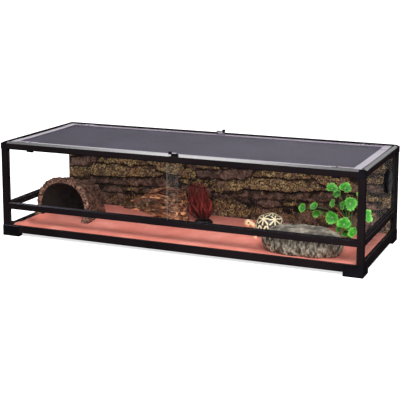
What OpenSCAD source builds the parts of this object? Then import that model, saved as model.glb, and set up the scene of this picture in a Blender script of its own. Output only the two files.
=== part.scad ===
// Reptile terrarium: a raised aluminium frame glazed on every side, with two sliding
// front doors, a lift-off screen lid and a dressed interior. Millimetres, +Z up, origin on
// the ground at the middle of the footprint, front towards -Y.

/* [Tank] */
// Width over the corner fittings
tank_w = 1220; // [1160:10:1500]
// Depth over the corner fittings
tank_d = 457; // [445:1:600]
// Height from the ground to the ridge of the top rails
tank_h = 317; // [300:1:450]
// Gap between the ground and the bottom rails
ground_gap = 13; // [8:0.5:25]
// Height of the door sill, the top of the mid rails
sill_z = 110; // [95:1:150]

/* [Rails and posts] */
// Width of the posts and of every rail, front to back
profile_w = 20; // [19:0.5:24]
// Height of the bottom rails
bottom_rail_h = 20; // [16:0.5:28]
// Height of the mid rails
mid_rail_h = 19; // [17:0.5:28]
// Height of the top rails below the seat of the lid
top_beam_h = 11; // [10:0.5:18]
// Height of the lip that stands round the lid
lip_h = 12; // [10:0.5:16]
// Width of the lip
lip_w = 10; // [9:0.5:12]
// Drop of the lip's sloping top, from its ridge to its outer face
bevel_drop = 6; // [2:0.5:6.5]
// Wall of the extruded profiles
wall = 1.8; // [1.2:0.1:2.2]
// Side of the square chamber inside the profiles
chamber = 5.2; // [4:0.1:5.5]
// Width of the ledge that carries the base panel
ledge_w = 10; // [6:1:20]
// Thickness of that ledge
ledge_t = 2.3; // [1.5:0.1:4]
// Height of the ledge's underside above the underside of its rail
ledge_rise = 5.7; // [3:0.1:7]

/* [Corner fittings] */
// How far the corner fittings stand proud of the rails and posts
corner_proud = 1.2; // [0.5:0.1:2]
// Length of a foot along each side of the tank
foot_len = 61; // [45:1:90]
// Height of a foot's skirt above the bottom rails
skirt_over = 2; // [0:0.5:6]
// Depth of a top corner fitting below the top rails
corner_drop = 2; // [0:0.5:8]
// Length of the spigots that enter the profiles
spigot_len = 25; // [12:1:40]
// Clearance round a spigot in its chamber
spigot_gap = 0.2; // [0.1:0.05:0.4]
// Diameter of the foot screws
screw_d = 3.8; // [3:0.1:4.4]
// Length of the foot screws
screw_len = 22; // [18:0.5:26]
// Diameter of the foot screws' heads
screw_head_d = 8; // [6:0.5:9]
// Height of the foot screws' heads
screw_head_h = 2.5; // [1.5:0.1:4]
// How far the foot screws are sunk into their feet
screw_sink = 1; // [0.5:0.1:3]
// Distance of each foot screw from the end of its foot
screw_inset = 18; // [8:1:26]

/* [Glass] */
// Thickness of the fixed panes
glass_t = 4; // [3:0.5:4]
// Distance from a rail's outer face to the middle of its glass
glass_inset = 11; // [10.8:0.1:12]
// Width of a glazing groove
groove_w = 5; // [4.6:0.1:5.2]
// Depth of a glazing groove
groove_d = 5; // [3:0.5:5.5]
// Gap between the edge of a pane and the floor of its groove
glass_play = 0.5; // [0.2:0.1:1]
// How far a glazing gasket shows beside its groove
gasket_show = 1.5; // [0.5:0.5:3]

/* [Sliding doors] */
// Thickness of the door glass
door_t = 4; // [3:0.5:4.2]
// Distance from the rails' front face to the middle of the front door
front_door_inset = 6; // [5.5:0.1:6.5]
// Distance from the middle of the front door to the middle of the rear door
door_pitch = 6.5; // [6:0.1:7]
// Width of a groove in the door tracks
track_groove_w = 5; // [4.8:0.1:5.4]
// Wall of the door tracks
track_wall = 1.5; // [1:0.1:1.6]
// Height of the sill track
sill_track_h = 8; // [7:0.5:10]
// Depth of the grooves in the sill track
sill_groove_d = 5; // [3:0.5:6]
// Height of the head track
head_track_h = 11; // [9:0.5:11]
// How far the head track hangs below the top rail
head_track_drop = 3; // [2:0.5:5]
// Depth of the grooves in the head track
head_groove_d = 9.5; // [8:0.5:9.5]
// Height that a door can be lifted in its tracks
door_lift = 5.5; // [5:0.5:6]
// Edge of the right-hand door, from the middle of the tank
right_door_edge = -12; // [-40:1:80]
// Overlap of the closed doors
door_overlap = 35; // [20:1:90]
// Running gap of the doors at sill and posts
door_gap = 0.3; // [0.2:0.1:0.5]

/* [Lid] */
// Gap between the lip and the edge of the lid
lid_play = 3; // [1.5:0.5:4]
// Gap under the lid at rest
lid_seat_gap = 0.3; // [0.2:0.1:0.5]
// Width of the lid's outer flange
lid_flange_w = 6; // [5.5:0.5:8]
// Thickness of the lid's outer flange
lid_flange_h = 3; // [2:0.5:4]
// Width of the raised strip of the lid's rails
lid_strip_w = 24; // [22:1:30]
// Height of the lid's rails
lid_rail_h = 7.2; // [6.8:0.1:9]
// Height by which the lid's corner fittings stand over its rails
lid_corner_over = 1; // [0:0.2:2]
// Length of a lid corner along the front or back
lid_corner_x = 105; // [100:1:130]
// Length of a lid corner along the side
lid_corner_y = 80; // [50:1:110]
// Thickness of the joining tongues inside the lid's rails
tongue_t = 3; // [2:0.2:3.2]
// Distance from the strip's outer edge to the chamber of the tongues
tongue_wall = 2; // [1.2:0.2:3]
// Thickness of the screen
screen_t = 0.8; // [0.5:0.1:1]
// Openings along the tank in the grid that stands for the woven wire
mesh_cols = 12; // [6:1:12]
// Openings of that grid across the tank
mesh_rows = 12; // [6:1:12]
// Width of the bars of that grid
mesh_bar = 8; // [4:1:10]
// Height of the screen above the underside of the lid
screen_rise = 3.2; // [3:0.1:3.4]
// Depth of the slot that holds the screen's edge
screen_slot_d = 5; // [4:0.5:6]
// Diameter of the spline cord that grips the screen
spline_d = 2.4; // [2:0.1:2.6]

/* [Cable gates] */
// Distance from the end of the lid to a gate's slot
gate_slot_start = 28; // [20:1:34]
// Length of a gate's slot
gate_slot_len = 68; // [60:1:70]
// Width of a gate's slot
gate_slot_w = 12; // [10:0.5:13]
// Distance from the strip's outer edge to the slot's guiding groove
slot_edge = 2.5; // [1.5:0.5:4]
// Length of the sliding gate
gate_len = 33; // [28:1:40]
// Clearance of the gate all round
gate_gap = 0.3; // [0.2:0.05:0.5]
// Width of the gate's guiding ribs
gate_rib_w = 1.5; // [0.8:0.1:2]
// Thickness of the gate's guiding ribs
gate_rib_t = 2; // [1.5:0.1:2.4]
// Width of the tab that hangs from the gate
tab_w = 25; // [15:1:27]
// Thickness of that tab
tab_t = 4; // [2:0.5:6]
// Length of that tab below the lid
tab_drop = 24; // [12:1:40]

/* [Latches] */
// Distance from the rail's outer face to the latch pivot
pivot_inset = 5.2; // [5:0.1:6]
// Diameter of the pivot pin
pivot_d = 4; // [3:0.1:4.4]
// Diameter of the stud's boss
boss_d = 8; // [7:0.5:9]
// Height of the boss's seat above the foot of the lip's slope
boss_sink = 1.5; // [1:0.1:2]
// Length of the latch arm from its pivot
arm_len = 27; // [24:1:32]
// Width of the latch arm
arm_w = 9; // [8.5:0.5:11]
// Thickness of the latch arm
arm_t = 2; // [1.5:0.1:3]
// Diameter of the latch knob
knob_d = 11; // [9:0.5:13]
// Height of the latch knob over its arm
knob_h = 6; // [5:0.5:9]
// Height of the pivot pin inside the knob
pin_rise = 3; // [2:0.5:4]
// Clearance under the latch arm
arm_gap = 0.3; // [0.2:0.1:0.6]
// Clearance round the pivot pin
pivot_gap = 0.08; // [0.05:0.01:0.1]
// Width of the keeper on the lid
keeper_w = 24; // [14:1:40]
// Depth of the keeper, front to back
keeper_d = 12; // [8:1:14]
// Distance from the strip's outer edge to the keeper
keeper_in = 2; // [1:0.5:6]

/* [Port] */
// Distance from the back rails' outer face to the middle of the port
port_from_back = 109; // [104:1:200]
// Distance from the ridge down to the middle of the port
port_drop = 103; // [75:1:110]
// Bore of the port
port_bore_d = 52; // [40:1:56]
// Wall of the port's neck
neck_wall = 3; // [2:0.5:4]
// Clearance of the neck in the glass
neck_gap = 0.5; // [0.3:0.1:1]
// Diameter of the outer flange
port_flange_d = 78; // [74:1:84]
// Thickness of the outer flange
port_flange_t = 4; // [3:0.5:4.5]
// Diameter of the nut inside
port_nut_d = 72; // [68:1:80]
// Thickness of the nut inside
port_nut_t = 5; // [3:0.5:8]
// Diameter of the turning cap
cap_d = 66; // [60:1:72]
// Thickness of the turning cap
cap_t = 2.4; // [2:0.2:2.8]
// Height of the finger bar on the cap
cap_bar_h = 1.8; // [1:0.2:2]
// Clearance of the cap in the port
cap_gap = 0.3; // [0.2:0.05:0.5]

/* [Base and background] */
// Thickness of the base panel
base_t = 5; // [3:0.5:6]
// Thickness of the floor mat
mat_t = 4; // [2:0.5:8]
// Clearance of the base panel and the mat at their edges
base_gap = 0.3; // [0.2:0.1:1]
// Thickness of the background panel behind its rock courses
backing_t = 14; // [8:1:20]
// Deepest rock course, in front of the backing
course_d = 15; // [8:1:20]
// Height of a rock course
course_h = 52; // [40:1:66]
// Height of the crevice between two courses
crevice_h = 6; // [3:1:12]
// Gap between each end of the background panel and the posts
panel_end_gap = 1; // [0.5:0.5:6]
// Gap between the background panel and the top rails
panel_head_gap = 14; // [13.5:0.5:24]

/* [Decor] */
// Width of the log hide over its bark
log_w = 222; // [190:1:228]
// Height of the log hide
log_h = 146; // [120:1:160]
// Length of the log hide
log_len = 142; // [120:1:160]
// Size of its far end, as a share of its near end
log_taper = 0.73; // [0.7:0.01:1]
// Thickness of its bark
bark_t = 20; // [12:1:24]
// Thickness of its closed far end
log_end_t = 8; // [5:0.5:12]
// Distance from the left end of the tank to the middle of the log hide
log_from_left = 143; // [138:1:152]
// Distance from the front of the tank to the middle of the log hide
log_from_front = 226; // [200:1:232]
// Turn of the log hide, in degrees
log_turn = -4; // [-8:1:8]
// Distance from the left end of the tank to the driftwood
wood_from_left = 519; // [512:1:524]
// Distance from the front of the tank to the driftwood
wood_from_front = 246; // [236:1:248]
// Distance from the left end of the tank to the foot of the red plant
red_from_left = 598; // [592:1:606]
// Distance from the front of the tank to the foot of the red plant
red_from_front = 298; // [296:1:304]
// Height of the red plant
red_h = 150; // [110:1:170]
// How far the top of the red plant leans to the left
red_lean = 22; // [0:1:26]
// Diameter of the red plant's base on the floor
puck_d = 66; // [50:1:66]
// Diameter of the top of that base
puck_top_d = 46; // [40:1:50]
// Height of that base
puck_h = 12; // [6:1:20]
// Distance from the right end of the tank to the middle of the rock
rock_from_right = 215; // [208:1:220]
// Distance from the front of the tank to the middle of the rock
rock_from_front = 115; // [110:1:118]
// Width of the rock
rock_w = 260; // [220:1:264]
// Depth of the rock
rock_d = 172; // [140:1:180]
// Height of the rock
rock_h = 74; // [50:1:90]
// Distance from the right end of the tank to the middle of the tortoise
tortoise_from_right = 365; // [360:1:372]
// Distance from the front of the tank to the middle of the tortoise
tortoise_from_front = 222; // [220:1:236]
// Turn of the tortoise, in degrees
tortoise_turn = 8; // [0:1:16]
// Length of the tortoise's shell
shell_len = 96; // [80:1:100]
// Height of the shell over the floor, the length of its legs
leg_h = 20; // [16:1:24]
// Distance from the right end of the tank to the stem of the green plant
green_from_right = 118; // [110:1:124]
// Distance from the front of the tank to the stem of the green plant
green_from_front = 284; // [276:1:290]

/* [Hidden] */

$fn = 48;
cut = 1; // overshoot of every cut past the face it leaves

// Outer faces of the rails and posts, and the levels of the frame
rail_x = tank_w / 2 - corner_proud;
rail_y = tank_d / 2 - corner_proud;
inner_x = rail_x - profile_w;
inner_y = rail_y - profile_w;
bottom_top = ground_gap + bottom_rail_h;
mid_z = sill_z - mid_rail_h;
seat_z = tank_h - lip_h;
beam_z = seat_z - top_beam_h;
bevel_z = tank_h - bevel_drop;
corner_z = beam_z - corner_drop;
lip_bore_w = lip_w - 2 * wall;
lip_bore_z = seat_z - wall;
lip_bore_h = bevel_z - wall - lip_bore_z;

// Glass and doors
pane_in = groove_d - glass_play;
track_in = front_door_inset - track_groove_w / 2 - track_wall;
track_w = track_groove_w + door_pitch + 2 * track_wall;
head_z = beam_z - head_track_drop;
sill_track_z = sill_z - sill_track_h;
door_z = sill_z - sill_groove_d + door_gap;
door_top = head_z + head_groove_d - door_lift;
left_door_edge = right_door_edge + door_overlap;

// Lid, in distances from its own outer edge and underside
lid_z = seat_z + lid_seat_gap;
lid_in = lip_w + lid_play;
lid_x = rail_x - lid_in;
lid_y = rail_y - lid_in;
lid_w = lid_flange_w + lid_strip_w;
lid_corner_h = lid_rail_h + lid_corner_over;
tongue_w = lid_strip_w / 2;
tongue_in = lid_flange_w + tongue_wall;
tongue_z = (lid_rail_h - tongue_t) / 2;
slot_mid = lid_flange_w + gate_rib_w + slot_edge + gate_slot_w / 2;
gate_rib_z = (lid_corner_h - gate_rib_t) / 2;

// Latches
arm_z = tank_h + 2 * arm_gap;
boss_z = bevel_z + boss_sink;
pin_top = arm_z + arm_t + pin_rise;

// Floor of the interior
ledge_z = ground_gap + ledge_rise + ledge_t;
mat_z = ledge_z + base_t;
floor_z = mat_z + mat_t;
panel_back = inner_y - base_gap;
panel_front = panel_back - backing_t - course_d;
panel_w = 2 * (inner_x - panel_end_gap);
panel_h = beam_z - panel_head_gap - mat_z;

// Colours
rail_black = [0.09, 0.08, 0.09];
plastic_black = [0.06, 0.06, 0.07];
strip_grey = [0.72, 0.70, 0.76];
clear = [0.75, 0.88, 0.84, 0.3];
mat_salmon = [0.84, 0.52, 0.46];
stone_grey = [0.52, 0.49, 0.42];
bark_brown = [0.46, 0.33, 0.26];

// ---------- placing ----------

// Turns a piece drawn along the front (x along, y inwards, z up) to one side of the tank
module on_side(side, fx = rail_x, fy = rail_y) {
  if (side == "front") translate([0, -fy, 0]) children();
  if (side == "back") translate([0, fy, 0]) rotate(180) children();
  if (side == "left") translate([-fx, 0, 0]) rotate(-90) children();
  if (side == "right") translate([fx, 0, 0]) rotate(90) children();
}

// Moves a piece drawn at an outer corner (x and y inwards) to the corner on side sx, sy
module at_corner(sx, sy, fx = rail_x, fy = rail_y)
  translate([sx * fx, sy * fy, 0])
    mirror([sx > 0 ? 1 : 0, 0, 0]) mirror([0, sy > 0 ? 1 : 0, 0]) children();

// Extrudes a section (x inwards, y up) along the front, centred
module run(length)
  rotate([90, 0, 90]) translate([0, 0, -length / 2]) linear_extrude(length) children();

function side_len(side) = (side == "front" || side == "back") ? 2 * inner_x : 2 * inner_y;

// ---------- loose forms of the decor ----------

// Closed skin over rings of equal count, each running clockwise seen from the last ring
module skin(rings) {
  n = len(rings[0]);
  m = len(rings);
  polyhedron(
    points = [for (ring = rings) for (p = ring) p],
    faces = concat(
      [[for (k = [n - 1:-1:0]) k]],
      [for (i = [0:m - 2]) for (k = [0:n - 1])
        [i * n + k, i * n + (k + 1) % n, (i + 1) * n + (k + 1) % n]],
      [for (i = [0:m - 2]) for (k = [0:n - 1])
        [i * n + k, (i + 1) * n + (k + 1) % n, (i + 1) * n + k]],
      [[for (k = [0:n - 1]) (m - 1) * n + k]]
    )
  );
}

function unit(v) = v / norm(v);
function heading(path, i) =
  unit(path[min(i + 1, len(path) - 1)] - path[max(i - 1, 0)]);

// Tapering limb along a path; side is the direction across it, flat squeezes the other
module limb(path, radii, side, flat = 1, sides = 8)
  skin([for (i = [0:len(path) - 1])
    let (d = heading(path, i), s = unit(side - (side * d) * d), t = cross(s, d))
    [for (k = [0:sides - 1])
      let (a = 360 * k / sides)
      path[i] + radii[i] * (cos(a) * s + flat * sin(a) * t)]]);

// Smooth unevenness between -1 and 1 for an angle a and a seed k
function uneven(a, k) = 0.5 * sin(3 * a + 71 * k) + 0.3 * sin(7 * a + 37 * k)
  + 0.2 * sin(12 * a + 113 * k);

// Whole-number hash, for courses of stone that differ
function mix(a, b) = (a * 37 + b * 61 + 13) % 17 / 16;

// ---------- frame ----------

module foot(sx, sy) color(plastic_black) at_corner(sx, sy) difference() {
  reach = foot_len - corner_proud;
  width = profile_w + corner_proud;
  union() {
    linear_extrude(ground_gap)
      polygon([[-corner_proud, -corner_proud], [reach, -corner_proud], [reach, width],
        [width, width], [width, reach], [-corner_proud, reach]]);
    linear_extrude(bottom_top + skirt_over)
      polygon([[-corner_proud, -corner_proud], [reach, -corner_proud], [reach, 0], [0, 0],
        [0, reach], [-corner_proud, reach]]);
  }
  foot_screw_places() {
    translate([0, 0, -cut]) cylinder(d = screw_d + 2 * spigot_gap, h = ground_gap + 2 * cut);
    translate([0, 0, -cut])
      cylinder(d = screw_head_d + 2 * spigot_gap, h = screw_sink + screw_head_h + cut);
  }
}

// Puts a foot screw in each arm of a foot, drawn at an outer corner
module foot_screw_places() {
  along = foot_len - screw_inset;
  translate([along, profile_w / 2, 0]) children();
  translate([profile_w / 2, along, 0]) children();
}

module foot_screws() color("silver")
  for (sx = [-1, 1], sy = [-1, 1]) at_corner(sx, sy) foot_screw_places()
    translate([0, 0, screw_sink]) {
      cylinder(d = screw_head_d, h = screw_head_h);
      cylinder(d = screw_d, h = screw_len);
    }

// Section of a post at an outer corner, with its chamber and its two glazing grooves
module post_section(grow = 0, bored = true) difference() {
  translate([-grow, -grow]) square(profile_w + grow);
  if (bored) translate([wall, wall]) square(chamber);
  translate([profile_w - groove_d, glass_inset - groove_w / 2]) square([groove_d + cut, groove_w]);
  translate([glass_inset - groove_w / 2, profile_w - groove_d]) square([groove_w, groove_d + cut]);
}

module post(sx, sy) color(rail_black) at_corner(sx, sy)
  translate([0, 0, ground_gap]) linear_extrude(corner_z - ground_gap) post_section();

// Groove for a pane, cut down from level z, or up from it when up is true
module glass_groove(z, up = false)
  translate([glass_inset - groove_w / 2, up ? z - cut : z - groove_d]) square([groove_w, groove_d + cut]);

module bottom_rail(side) {
  bears = side == "front" || side == "back";
  color(rail_black) difference() {
    on_side(side) run(side_len(side)) difference() {
      union() {
        translate([0, ground_gap]) square([profile_w, bottom_rail_h]);
        if (bears) translate([profile_w - cut, ledge_z - ledge_t]) square([ledge_w + cut, ledge_t]);
      }
      translate([wall, ground_gap + wall]) square([chamber, bottom_rail_h - 2 * wall]);
      glass_groove(bottom_top);
    }
    for (sx = [-1, 1], sy = [-1, 1]) at_corner(sx, sy) foot_screw_places()
      translate([0, 0, ground_gap - cut])
        cylinder(d = screw_d + spigot_gap, h = screw_sink + screw_len - ground_gap + 2 * cut);
  }
}

module mid_rail(side) color(rail_black) on_side(side) run(side_len(side)) difference() {
  sliding = side == "front";
  translate([0, mid_z]) square([profile_w, mid_rail_h]);
  translate([wall, mid_z + wall])
    square([chamber, mid_rail_h - 2 * wall - (sliding ? sill_track_h : 0)]);
  glass_groove(mid_z, up = true);
  if (sliding) translate([track_in, sill_track_z]) square([track_w, sill_track_h + cut]);
  else glass_groove(sill_z);
}

// Section of a top rail: beam, seat of the lid and sloping lip
module top_section()
  polygon([[0, beam_z], [profile_w, beam_z], [profile_w, seat_z], [lip_w, seat_z],
    [lip_w, tank_h], [0, bevel_z]]);

module top_rail(side) {
  sliding = side == "front";
  color(rail_black) difference() {
    on_side(side) run(side_len(side)) difference() {
      top_section();
      translate([wall, lip_bore_z]) square([lip_bore_w, lip_bore_h]);
      if (sliding)
        translate([track_in, head_z - cut]) square([track_w, head_track_h + cut]);
      else glass_groove(beam_z, up = true);
    }
    if (side == "front" || side == "back") on_side(side) translate([0, pivot_inset, 0]) {
      translate([0, 0, boss_z]) cylinder(d = boss_d + 2 * spigot_gap, h = lip_h);
      translate([0, 0, lip_bore_z]) cylinder(d = pivot_d + 2 * pivot_gap, h = lip_h);
    }
  }
}

module top_corner() {
  grow = corner_proud;
  translate([0, 0, corner_z]) linear_extrude(seat_z - corner_z) post_section(grow, false);
  // The lip turns the corner: the slope of one arm meets the other's in a mitre
  difference() {
    intersection() {
      corner_roof(grow);
      mirror([1, -1, 0]) corner_roof(grow);
    }
    translate([lip_w, lip_w, seat_z - cut]) cube([profile_w, profile_w, lip_h + 2 * cut]);
  }
  translate([wall + spigot_gap, wall + spigot_gap, corner_z - spigot_len])
    cube([chamber - 2 * spigot_gap, chamber - 2 * spigot_gap, spigot_len + cut]);
  lip_spigot();
  mirror([1, -1, 0]) lip_spigot();
}

// Slope and flat of the lip, run along x over a corner fitting
module corner_roof(grow)
  translate([-grow, 0, 0]) rotate([90, 0, 90]) linear_extrude(profile_w + grow)
    polygon([[-grow, seat_z], [profile_w, seat_z], [profile_w, tank_h], [lip_w, tank_h],
      [-grow, bevel_z]]);

// Spigot that enters the chamber in the lip of the rail along x
module lip_spigot()
  translate([profile_w - cut, wall + spigot_gap, lip_bore_z + spigot_gap])
    cube([spigot_len + cut, lip_bore_w - 2 * spigot_gap, lip_bore_h - 2 * spigot_gap]);

module top_corners() color(plastic_black)
  for (sx = [-1, 1], sy = [-1, 1]) at_corner(sx, sy) top_corner();

// ---------- glass ----------

// Block on a pane's place between two levels, t thick, its edges moved out by grow
module pane(side, z0, z1, t = glass_t, grow = 0) {
  half = side_len(side) / 2 + pane_in + grow;
  on_side(side) translate([-half, glass_inset - t / 2, z0 - grow])
    cube([2 * half, t, z1 - z0 + 2 * grow]);
}

pane_base = bottom_top - pane_in;
pane_low_top = mid_z + pane_in;
pane_sill = sill_z - pane_in;
pane_top = beam_z + pane_in;

module glass_back() color(clear) pane("back", pane_base, pane_top);
module glass_front_lower() color(clear) pane("front", pane_base, pane_low_top);
module glass_left_upper() color(clear) pane("left", pane_sill, pane_top);
module glass_left_lower() color(clear) pane("left", pane_base, pane_low_top);
module glass_right_lower() color(clear) pane("right", pane_base, pane_low_top);

module glass_right_upper() color(clear) difference() {
  pane("right", pane_sill, pane_top);
  at_port(glass_inset - glass_t) cylinder(d = port_bore_d + 2 * (neck_wall + neck_gap), h = 2 * glass_t);
}

// Channel gasket round the edge of one pane
module gasket(side, z0, z1) difference() {
  pane(side, z0, z1, groove_w, glass_play);
  pane(side, z0, z1, groove_w + 2 * cut, -pane_in - gasket_show);
  pane(side, z0, z1);
}

module glazing_gaskets() color(plastic_black) {
  gasket("back", pane_base, pane_top);
  gasket("front", pane_base, pane_low_top);
  for (side = ["left", "right"]) {
    gasket(side, pane_base, pane_low_top);
    gasket(side, pane_sill, pane_top);
  }
}

// ---------- sliding doors ----------

// Section of a door track h high with its two grooves d deep, from level z up
module track_section(z, h, d, down) difference() {
  translate([track_in, z]) square([track_w, h]);
  for (i = [0, 1])
    translate([front_door_inset + i * door_pitch - track_groove_w / 2, down ? z - cut : z + h - d])
      square([track_groove_w, d + cut]);
}

module sill_track() color(plastic_black) on_side("front") run(2 * inner_x)
  track_section(sill_track_z, sill_track_h, sill_groove_d, false);

module head_track() color(plastic_black) on_side("front") run(2 * inner_x)
  track_section(head_z, head_track_h, head_groove_d, true);

// Door pane from x0 to x1 in track number i, counted from the front
module door(x0, x1, i) color(clear) on_side("front")
  translate([x0, front_door_inset + i * door_pitch - door_t / 2, door_z])
    cube([x1 - x0, door_t, door_top - door_z]);

module door_left() door(-inner_x + door_gap, left_door_edge, 1);
module door_right() door(right_door_edge, inner_x - door_gap, 0);

// ---------- base, mat and background ----------

module base_panel() color(plastic_black)
  translate([-inner_x + base_gap, -inner_y + base_gap, ledge_z])
    cube([2 * (inner_x - base_gap), 2 * (inner_y - base_gap), base_t]);

module floor_mat() color(mat_salmon)
  translate([-inner_x + base_gap, -inner_y + base_gap, mat_z])
    cube([2 * (inner_x - base_gap), panel_front + inner_y - 2 * base_gap, mat_t]);

stones = 7; // stones in each course of the background

// Edge of stone j in course r, from the left end of the panel
function stone_edge(r, j) = (j == 0 || j == stones) ? j / stones * panel_w
  : (j + 0.5 * mix(r, j) - 0.25) / stones * panel_w;

module background_panel() color(bark_brown) translate([-panel_w / 2, 0, mat_z]) {
  translate([0, panel_back - backing_t, 0]) cube([panel_w, backing_t, panel_h]);
  for (r = [0:ceil(panel_h / course_h) - 1], j = [0:stones - 1]) {
    deep = course_d * (0.5 + 0.5 * mix(j, r));
    translate([stone_edge(r, j), panel_back - backing_t - deep, r * course_h])
      cube([stone_edge(r, j + 1) - stone_edge(r, j) - crevice_h / 2, deep + cut,
        min(course_h - crevice_h, panel_h - r * course_h)]);
  }
}

// ---------- lid ----------

// Section of a lid rail, from its outer edge inwards and from its underside up
module lid_section() difference() {
  polygon([[0, 0], [lid_w, 0], [lid_w, lid_rail_h], [lid_flange_w, lid_rail_h],
    [lid_flange_w, lid_flange_h], [0, lid_flange_h]]);
  translate([lid_w - screen_slot_d, screen_rise - spigot_gap / 2])
    square([screen_slot_d + cut, screen_t + spigot_gap]);
  translate([lid_w - screen_slot_d, screen_rise + screen_t / 2])
    circle(d = spline_d + spigot_gap);
  translate([tongue_in, tongue_z]) square([tongue_w, tongue_t]);
}

function lid_rail_len(side) = (side == "front" || side == "back")
  ? 2 * (lid_x - lid_corner_x) : 2 * (lid_y - lid_corner_y);

module lid_rail(side) color(strip_grey) on_side(side, lid_x, lid_y) translate([0, 0, lid_z]) {
  run(lid_rail_len(side)) lid_section();
  if (side == "front" || side == "back")
    translate([-keeper_w / 2, lid_flange_w + keeper_in, lid_rail_h - cut])
      cube([keeper_w, keeper_d, tank_h + arm_gap - lid_z - lid_rail_h + cut]);
}

// L-shaped outline of a lid corner, its outer edges moved in by inset
module lid_corner_outline(inset)
  polygon([[inset, inset], [lid_corner_x, inset], [lid_corner_x, lid_w], [lid_w, lid_w],
    [lid_w, lid_corner_y], [inset, lid_corner_y]]);

// Tongue that enters the chamber of the lid rail along x, from the end of a corner's arm
module lid_tongue(arm)
  translate([arm - cut, tongue_in + spigot_gap, tongue_z + spigot_gap])
    cube([spigot_len + cut, tongue_w - 2 * spigot_gap, tongue_t - 2 * spigot_gap]);

module lid_corner() {
  difference() {
    union() {
      linear_extrude(lid_flange_h) lid_corner_outline(0);
      linear_extrude(lid_corner_h) lid_corner_outline(lid_flange_w);
    }
    translate([lid_w - screen_slot_d, lid_w - screen_slot_d, screen_rise - spigot_gap / 2])
      cube([lid_corner_x, lid_corner_y, screen_t + spigot_gap]);
    translate([gate_slot_start, slot_mid - gate_slot_w / 2, -cut])
      cube([gate_slot_len, gate_slot_w, lid_corner_h + 2 * cut]);
    translate([gate_slot_start, slot_mid - gate_slot_w / 2 - gate_rib_w, gate_rib_z])
      cube([gate_slot_len, gate_slot_w + 2 * gate_rib_w, gate_rib_t]);
  }
  lid_tongue(lid_corner_x);
  mirror([1, -1, 0]) lid_tongue(lid_corner_y);
}

module lid_corners() color(strip_grey)
  for (sx = [-1, 1], sy = [-1, 1])
    at_corner(sx, sy, lid_x, lid_y) translate([0, 0, lid_z]) lid_corner();

screen_in = lid_w - screen_slot_d + spline_d / 2 + spigot_gap;

screen_l = 2 * (lid_x - screen_in);
screen_d = 2 * (lid_y - screen_in);
mesh_step_x = (screen_l - 2 * screen_slot_d + mesh_bar) / mesh_cols;
mesh_step_y = (screen_d - 2 * screen_slot_d + mesh_bar) / mesh_rows;

// The woven wire, drawn as a coarse grid
module lid_screen() color([0.3, 0.29, 0.34])
  translate([-screen_l / 2, -screen_d / 2, lid_z + screen_rise]) difference() {
    cube([screen_l, screen_d, screen_t]);
    for (i = [0:mesh_cols - 1], j = [0:mesh_rows - 1])
      translate([screen_slot_d + i * mesh_step_x, screen_slot_d + j * mesh_step_y, -cut])
        cube([mesh_step_x - mesh_bar, mesh_step_y - mesh_bar, screen_t + 2 * cut]);
  }

module screen_spline() color(plastic_black)
  for (side = ["front", "back", "left", "right"])
    on_side(side, lid_x, lid_y)
      translate([-lid_rail_len(side) / 2, lid_w - screen_slot_d, lid_z + screen_rise + screen_t / 2])
        rotate([0, 90, 0]) cylinder(d = spline_d, h = lid_rail_len(side));

// Sliding gate in the slot of a lid corner, shut over the inner half of the slot
module gate(sx, sy) color(plastic_black) at_corner(sx, sy, lid_x, lid_y)
  translate([gate_slot_start + gate_slot_len - gate_len - gate_gap, slot_mid, lid_z]) {
    body_w = gate_slot_w - 2 * gate_gap;
    rib_w = body_w + 2 * gate_rib_w;
    rib_t = gate_rib_t - 2 * gate_gap;
    translate([0, -body_w / 2, 0]) cube([gate_len, body_w, lid_corner_h - gate_gap]);
    translate([0, -rib_w / 2, gate_rib_z + gate_gap]) cube([gate_len, rib_w, rib_t]);
    translate([(gate_len - tab_w) / 2, -tab_t / 2, -tab_drop]) cube([tab_w, tab_t, tab_drop + cut]);
    translate([gate_len / 2 - gate_rib_t, -body_w / 2, 0])
      cube([2 * gate_rib_t, body_w, lid_corner_h + gate_rib_w]);
  }

module gate_front_left() gate(-1, -1);
module gate_front_right() gate(1, -1);
module gate_back_left() gate(-1, 1);
module gate_back_right() gate(1, 1);

// ---------- latches ----------

module latch_studs() color("silver")
  for (side = ["front", "back"]) on_side(side) translate([0, pivot_inset, 0]) {
    translate([0, 0, boss_z]) cylinder(d = boss_d, h = tank_h + arm_gap - boss_z);
    translate([0, 0, lip_bore_z + cut]) cylinder(d = pivot_d, h = pin_top - lip_bore_z - cut);
  }

// Turning arm with its knob, parked along the rail
module latch(side) color("silver") on_side(side) translate([0, pivot_inset, arm_z])
  difference() {
    union() {
      cylinder(d = arm_w, h = arm_t);
      translate([0, -arm_w / 2, 0]) cube([arm_len - arm_w / 2, arm_w, arm_t]);
      translate([arm_len - arm_w / 2, 0, 0]) cylinder(d = arm_w, h = arm_t);
      cylinder(d = knob_d, h = arm_t + knob_h);
      translate([arm_len - arm_w / 2 - arm_t, -arm_w / 2, 0]) cube([arm_t, arm_w, 2 * arm_t]);
    }
    translate([0, 0, -cut]) cylinder(d = pivot_d + 2 * pivot_gap, h = pin_top - arm_z + cut + arm_gap);
  }

module latch_front() latch("front");
module latch_back() latch("back");

// ---------- port ----------

// Puts a piece on the port's axis, z pointing inwards, from depth in behind the rail's face
module at_port(in) on_side("right")
  translate([rail_y - port_from_back, in, tank_h - port_drop]) rotate([-90, 0, 0]) children();

glass_out = glass_inset - glass_t / 2;
glass_in = glass_inset + glass_t / 2;
neck_d = port_bore_d + 2 * neck_wall;

module port_flange() color(plastic_black) at_port(glass_out - port_flange_t) difference() {
  union() {
    cylinder(d = port_flange_d, h = port_flange_t);
    cylinder(d = neck_d, h = port_flange_t + glass_t + port_nut_t);
  }
  translate([0, 0, -cut]) cylinder(d = port_bore_d, h = port_flange_t + glass_t + port_nut_t + 2 * cut);
}

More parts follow.
